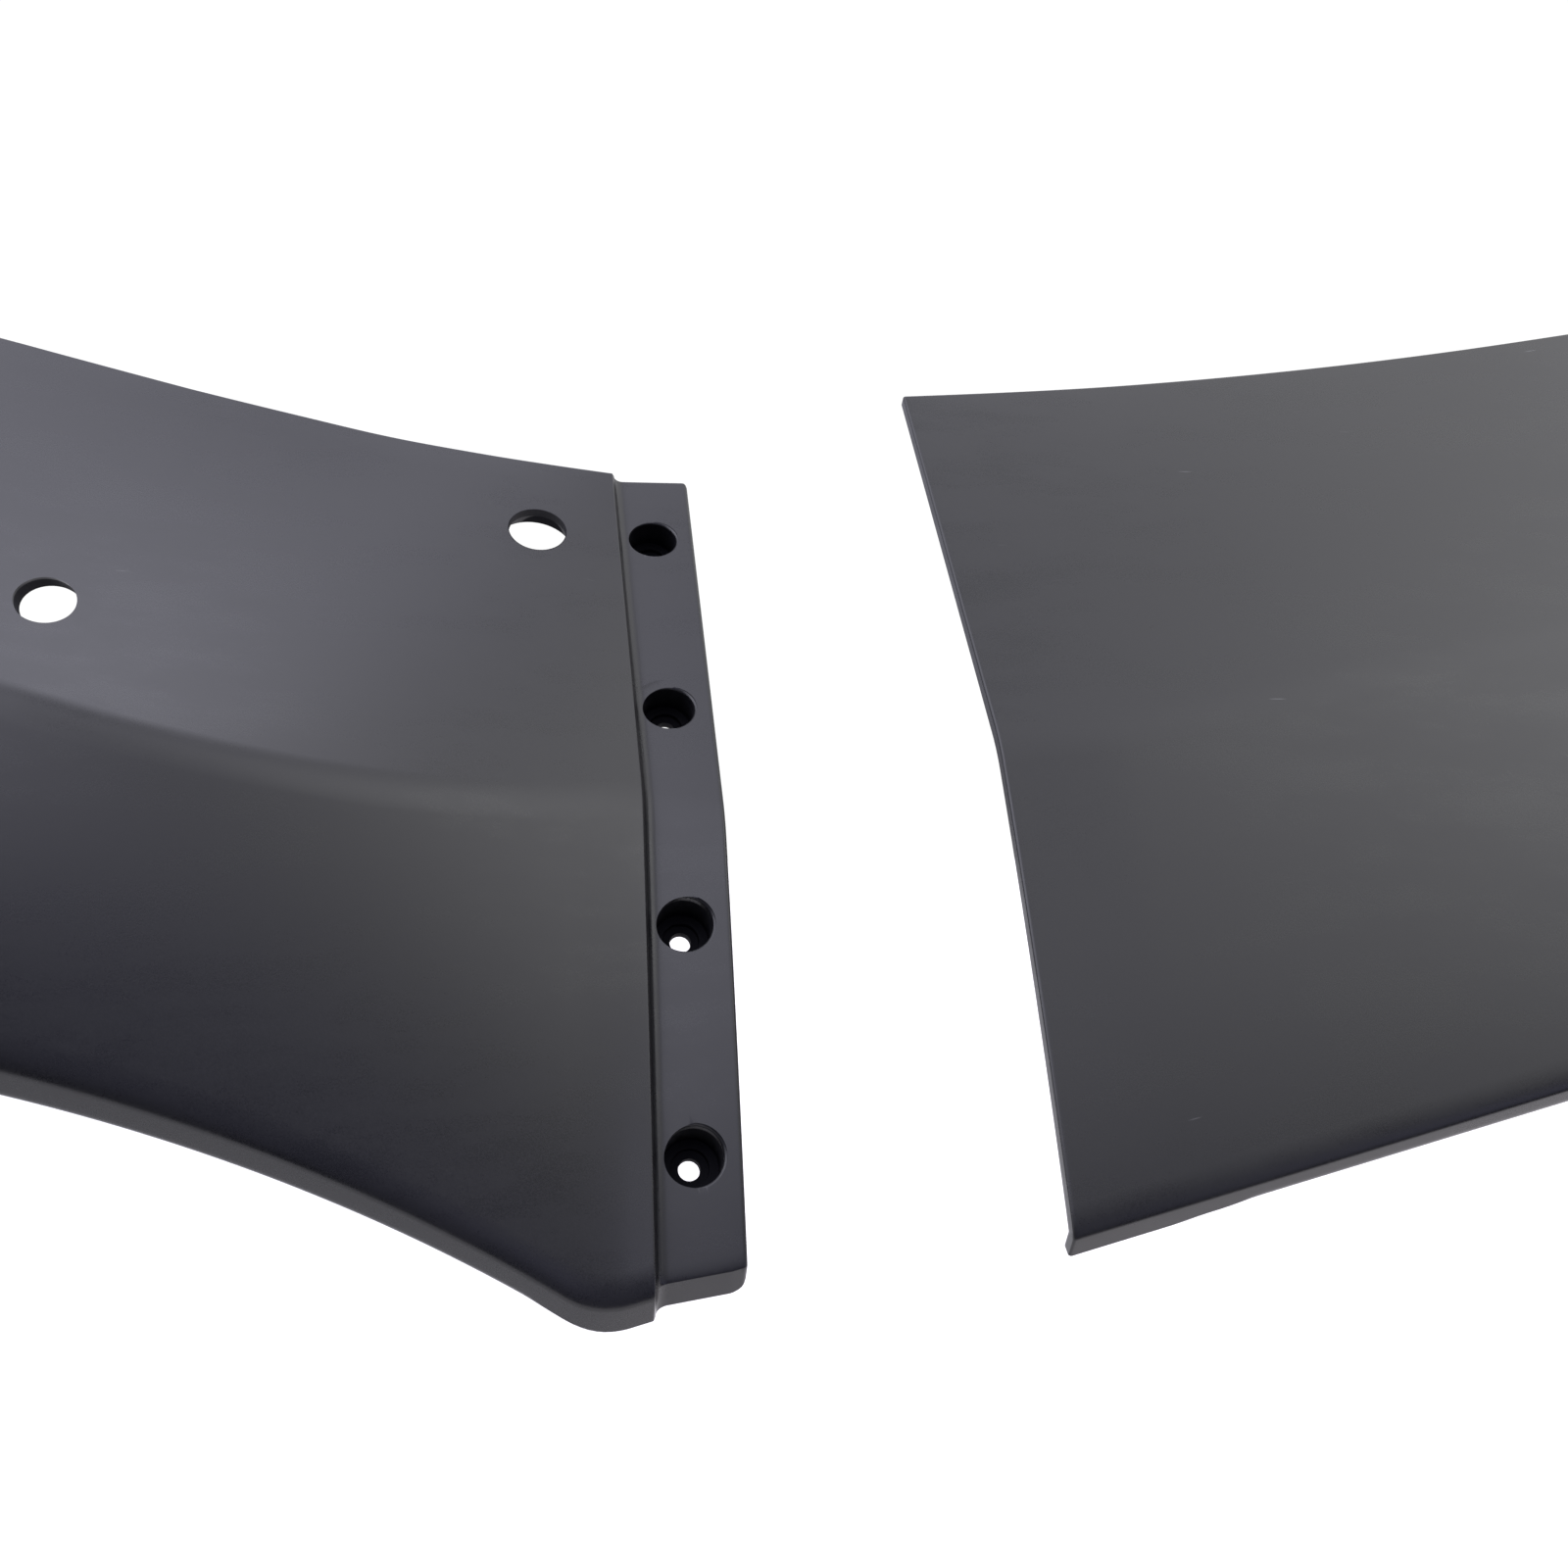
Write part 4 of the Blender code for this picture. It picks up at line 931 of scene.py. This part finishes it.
def plastic(name, dark, pale, rough, turn, shaded_holes=()):
    """Satin moulded plastic: fine grain, handling smudges, dust and hairlines, with painted shade in pockets and holes.
    """
    m, nt, b = new_material(name)
    at = place(nt, location=(turn, 0.3 * turn, 0.7 * turn))
    clouds = noise(nt, at, 7.0, 4.0, 0.55)
    smears = noise(nt, place(nt, rotation=(0.2, 0.5, 0.4 + turn), scale=(1.0, 2.2, 3.4)), 26.0, 5.0, 0.6)
    grain = noise(nt, at, 2600.0, 2.0, 0.6)
    coarse = noise(nt, at, 700.0, 2.0, 0.5)
    colour = mixed(nt, ramp(nt, clouds, 0.32, 0.70), dark, pale)
    colour = mixed(nt, ramp(nt, grain, 0.35, 0.75, 0.0, 0.16), colour, tuple(2.2 * c for c in pale))
    dust = flecks(nt, place(nt, rotation=(0.4, 0.3, turn)), 46.0, 0.016, 0.16)
    fine_dust = flecks(nt, place(nt, rotation=(0.1, 0.7, turn), location=(0.37, 0.11, 0.05)), 120.0, 0.018, 0.03)
    hair_a = flecks(nt, place(nt, rotation=(0.25, 0.6, 0.5), scale=(1.0, 1.0, 26.0)), 30.0, 0.075, 0.045)
    hair_b = flecks(nt, place(nt, rotation=(0.9, -0.3, 1.2), scale=(1.0, 30.0, 1.0)), 27.0, 0.070, 0.035)
    hairs = math_node(nt, "MAXIMUM", hair_a, hair_b)
    colour = mixed(nt, math_node(nt, "MULTIPLY", hairs, 0.45), colour, (0.24, 0.24, 0.24))
    specks = math_node(nt, "MAXIMUM", dust, fine_dust)
    colour = mixed(nt, math_node(nt, "MULTIPLY", specks, 0.85), colour, (0.50, 0.50, 0.50))
    # painted shade: ambient occlusion and the hole masks darken the colour to near black in pockets and holes, where
    # the finish is also made rougher and less glossy
    hollow = node(nt, "ShaderNodeAmbientOcclusion", {"Distance": 0.011}, samples=4, only_local=True).outputs["AO"]
    clear = ramp(nt, hollow, 0.25, 0.80)
    for at_hole, axis, radius, depth in shaded_holes:
        clear = math_node(nt, "MULTIPLY", clear, math_node(nt, "SUBTRACT", 1.0, inside(nt, at_hole, axis, radius, depth)))
    nt.links.new(mixed(nt, clear, (0.0030, 0.0030, 0.0052), colour), b.inputs["Base Color"])
    shine = ramp(nt, smears, 0.40, 0.72, rough + 0.02, rough - 0.06)
    shine = math_node(nt, "ADD", shine, ramp(nt, grain, 0.2, 0.8, -0.03, 0.05))
    shine = node(nt, "ShaderNodeMix", {0: clear, 2: 0.70, 3: shine}).outputs[0]
    nt.links.new(shine, b.inputs["Roughness"])
    nt.links.new(math_node(nt, "MULTIPLY_ADD", clear, 0.38), b.inputs["Specular IOR Level"])
    height = math_node(nt, "ADD", math_node(nt, "MULTIPLY", grain, 0.6), math_node(nt, "MULTIPLY", coarse, 0.4))
    height = math_node(nt, "ADD", height, math_node(nt, "MULTIPLY", specks, 0.8))
    bump = node(nt, "ShaderNodeBump", {"Height": height, "Strength": 0.16, "Distance": 0.00006})
    nt.links.new(bump.outputs["Normal"], b.inputs["Normal"])
    return m


def rubber(name):
    m, nt, b = new_material(name)
    at = place(nt)
    grain = noise(nt, at, 1500.0, 3.0, 0.6)
    bloom = noise(nt, at, 40.0, 4.0, 0.6)
    colour = mixed(nt, ramp(nt, bloom, 0.45, 0.8), (0.014, 0.014, 0.015), (0.034, 0.034, 0.036))
    nt.links.new(mixed(nt, ramp(nt, grain, 0.5, 0.8, 0.0, 0.4), colour, (0.05, 0.05, 0.052)), b.inputs["Base Color"])
    nt.links.new(ramp(nt, bloom, 0.3, 0.8, 0.62, 0.82), b.inputs["Roughness"])
    bump = node(nt, "ShaderNodeBump", {"Height": grain, "Strength": 0.35, "Distance": 0.00012})
    nt.links.new(bump.outputs["Normal"], b.inputs["Normal"])
    return m


def foam(name):
    m, nt, b = new_material(name)
    v = node(nt, "ShaderNodeTexVoronoi", {"Vector": place(nt), "Scale": 1700.0})
    cells = v.outputs["Distance"]
    nt.links.new(mixed(nt, ramp(nt, cells, 0.1, 0.7), (0.030, 0.030, 0.033), (0.105, 0.105, 0.112)), b.inputs["Base Color"])
    nt.links.new(ramp(nt, cells, 0.1, 0.7, 0.98, 0.85), b.inputs["Roughness"])
    bump = node(nt, "ShaderNodeBump", {"Height": cells, "Strength": 0.6, "Distance": 0.0003})
    nt.links.new(bump.outputs["Normal"], b.inputs["Normal"])
    return m


def nylon(name):
    m, nt, b = new_material(name)
    at = place(nt)
    flow = noise(nt, at, 160.0, 4.0, 0.55)
    grain = noise(nt, at, 2400.0, 2.0, 0.5)
    nt.links.new(mixed(nt, ramp(nt, flow, 0.3, 0.75), (0.56, 0.545, 0.49), (0.68, 0.67, 0.63)), b.inputs["Base Color"])
    nt.links.new(ramp(nt, flow, 0.3, 0.75, 0.42, 0.56), b.inputs["Roughness"])
    b.inputs["Subsurface Weight"].default_value = 0.12
    b.inputs["Subsurface Radius"].default_value = (0.0012, 0.0011, 0.0009)
    bump = node(nt, "ShaderNodeBump", {"Height": grain, "Strength": 0.12, "Distance": 0.00005})
    nt.links.new(bump.outputs["Normal"], b.inputs["Normal"])
    return m


def zinc(name):
    m, nt, b = new_material(name)
    at = place(nt)
    spangle = noise(nt, at, 420.0, 4.0, 0.6)
    brush = noise(nt, place(nt, scale=(1.0, 22.0, 22.0)), 130.0, 3.0, 0.6)
    colour = mixed(nt, ramp(nt, spangle, 0.3, 0.75), (0.50, 0.50, 0.48), (0.66, 0.65, 0.60))
    nt.links.new(colour, b.inputs["Base Color"])
    b.inputs["Metallic"].default_value = 1.0
    nt.links.new(ramp(nt, brush, 0.3, 0.75, 0.27, 0.45), b.inputs["Roughness"])
    bump = node(nt, "ShaderNodeBump", {"Height": brush, "Strength": 0.12, "Distance": 0.00005})
    nt.links.new(bump.outputs["Normal"], b.inputs["Normal"])
    return m


# hole masks for the painted shade inside the body bolt holes and the counterbores
SHADED_HOLES = [(world(p), tuple(unit(run)), r / 1000.0, -0.0035) for (p, n), run, r in zip(bolt_seats(), BOLT_RUN, BOLT_R)]
middle = bolt_seats()[1][0] + OVAL_AT + 1.9 * BOLT_RUN[1]
SHADED_HOLES[1] = (world(middle), tuple(bolt_seats()[1][1]), 0.0098, 0.0003 - 1.9e-3 * float(BOLT_RUN[1] @ bolt_seats()[1][1]))
SHADED_HOLES += [(world(p), BOSS_AXIS, BORE_R / 1000.0, 0.0012) for p in boss_seats()]
LOOKS = {
    "panel_arch": plastic("satin_black_arch", (0.0062, 0.0062, 0.0072), (0.0080, 0.0080, 0.0092), 0.30, 0.0, SHADED_HOLES),
    "panel_ext": plastic("satin_black_extension", (0.0066, 0.0066, 0.0068), (0.0084, 0.0084, 0.0083), 0.30, 1.7),
    "seal_rubber": rubber("seal_rubber"),
    "washer_foam": foam("washer_foam"),
    "clip_nylon": nylon("clip_nylon"),
    "nut_steel": zinc("nut_steel"),
}


def slot_of(name):
    if name.endswith("panel"):
        return "panel_plastic"
    if name.endswith("seal"):
        return "seal_rubber"
    if "washer" in name:
        return "washer_foam"
    return "clip_nylon" if "clip" in name else "nut_steel"


for name, ob in made.items():
    s = slot_of(name)
    look = s if s != "panel_plastic" else ("panel_arch" if name.startswith("arch") else "panel_ext")
    ob.data.materials.clear()
    ob.data.materials.append(LOOKS[look])
    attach(ob, "arch" if name.startswith("arch") else "extension")
    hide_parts(name)

# ------------------------------------------------------------------ floor and light
low = cad_box[0][2] - 0.004
front = world((0, -430.0, 0))[1]
me = bpy.data.meshes.new("floor")
me.from_pydata([(-6.0, front, low), (6.0, front, low), (6.0, 6.0, low), (-6.0, 6.0, low)], [], [(0, 1, 2, 3)])
floor = bpy.data.objects.new("floor", me)
scene.collection.objects.link(floor)
m, nt, b = new_material("floor")
# painted light: the floor runs from grey on the left to paler and warmer on the right, standing in for stronger light
# on the right; the noise over it is random tone
along = node(nt, "ShaderNodeSeparateXYZ", {"Vector": place(nt)}).outputs["X"]
pale = mixed(nt, ramp(nt, along, -0.15, 0.25), (0.64, 0.635, 0.615), (0.90, 0.86, 0.81))
nt.links.new(mixed(nt, noise(nt, place(nt), 3.0, 3.0, 0.5), pale, (0.74, 0.73, 0.71)), b.inputs["Base Color"])
b.inputs["Roughness"].default_value = 0.9
me.materials.append(m)

# soft studio light by direction: the angle round the object from the front (0) over the top (90) to the back (180), then
# the brightness to the left, left of the middle, right of the middle and to the right: two broad lights with a gap between
SKY = ((-90, 0.03, 0.03, 0.03, 0.03), (-20, 0.03, 0.05, 0.16, 0.08), (-5, 0.06, 0.26, 0.14, 0.38), (5, 0.13, 0.34, 0.10, 0.66),
       (12, 0.15, 0.28, 0.12, 0.60), (17, 0.14, 0.43, 0.15, 0.31), (21, 0.30, 1.00, 0.48, 0.20), (26, 0.98, 1.68, 1.15, 0.52),
       (33, 2.00, 2.18, 1.47, 1.25), (42, 3.02, 2.41, 1.20, 2.02), (55, 3.68, 2.63, 0.85, 2.82), (72, 3.42, 2.92, 1.25, 2.64),
       (90, 2.62, 1.92, 0.75, 1.47), (106, 1.68, 1.70, 2.45, 1.26), (125, 0.92, 1.70, 2.50, 1.38), (150, 0.71, 0.86, 0.82, 0.80),
       (180, 0.61, 0.55, 0.45, 0.65))
SIDES = (-0.45, -0.15, 0.10, 0.50)
w = bpy.data.worlds.new("studio")
scene.world = w
w.use_nodes = True
nt = w.node_tree
nt.nodes.clear()
out = node(nt, "ShaderNodeOutputWorld")
xyz = node(nt, "ShaderNodeSeparateXYZ", {"Vector": node(nt, "ShaderNodeTexCoord").outputs["Generated"]})


def stops(at, lo, hi, keys):
    """Brightness along a row of (place, brightness) keys."""
    band = node(nt, "ShaderNodeValToRGB", {"Fac": at})
    els = band.color_ramp.elements
    while len(els) < len(keys):
        els.new(0.5)
    for e, (a, v) in zip(els, keys):
        e.position = (a - lo) / (hi - lo)
        e.color = (v, v, v, 1.0)
    return band.outputs["Color"]


def times(a, b):
    return node(nt, "ShaderNodeMix", {0: 1.0, 6: a, 7: b}, data_type="RGBA", blend_type="MULTIPLY").outputs[2]


ahead = math_node(nt, "MULTIPLY", xyz.outputs["Y"], -1.0)
over = math_node(nt, "MULTIPLY", math_node(nt, "ARCTAN2", xyz.outputs["Z"], ahead), 180.0 / math.pi)
at = node(nt, "ShaderNodeMapRange", {"Value": over, "From Min": -90.0, "From Max": 180.0}).outputs["Result"]
rows = [stops(at, -90.0, 180.0, [(k[0], k[1 + i]) for k in SKY]) for i in range(len(SIDES))]
sky = rows[0]
for a, b, row in zip(SIDES, SIDES[1:], rows[1:]):
    part = node(nt, "ShaderNodeMapRange", {"Value": xyz.outputs["X"], "From Min": a, "From Max": b}).outputs["Result"]
    sky = node(nt, "ShaderNodeMix", {0: part, 6: sky, 7: row}, data_type="RGBA").outputs[2]
tint = mixed(nt, ramp(nt, xyz.outputs["X"], 0.0, 0.5), (0.98, 0.98, 1.14), (1.0, 1.0, 1.03))
sky = times(sky, mixed(nt, ramp(nt, over, 30.0, 8.0), tint, (0.95, 0.95, 1.45)))
soft = node(nt, "ShaderNodeBackground", {"Color": sky, "Strength": 1.0})
plain = node(nt, "ShaderNodeBackground", {"Color": (1, 1, 1, 1), "Strength": 1.05})
pick = node(nt, "ShaderNodeMixShader", {0: node(nt, "ShaderNodeLightPath").outputs["Is Camera Ray"], 1: soft.outputs[0], 2: plain.outputs[0]})
nt.links.new(pick.outputs[0], out.inputs["Surface"])

scene.view_settings.view_transform = "Standard"
scene.view_settings.look = "None"
scene.view_settings.exposure = 0.0
scene.view_settings.gamma = 1.0
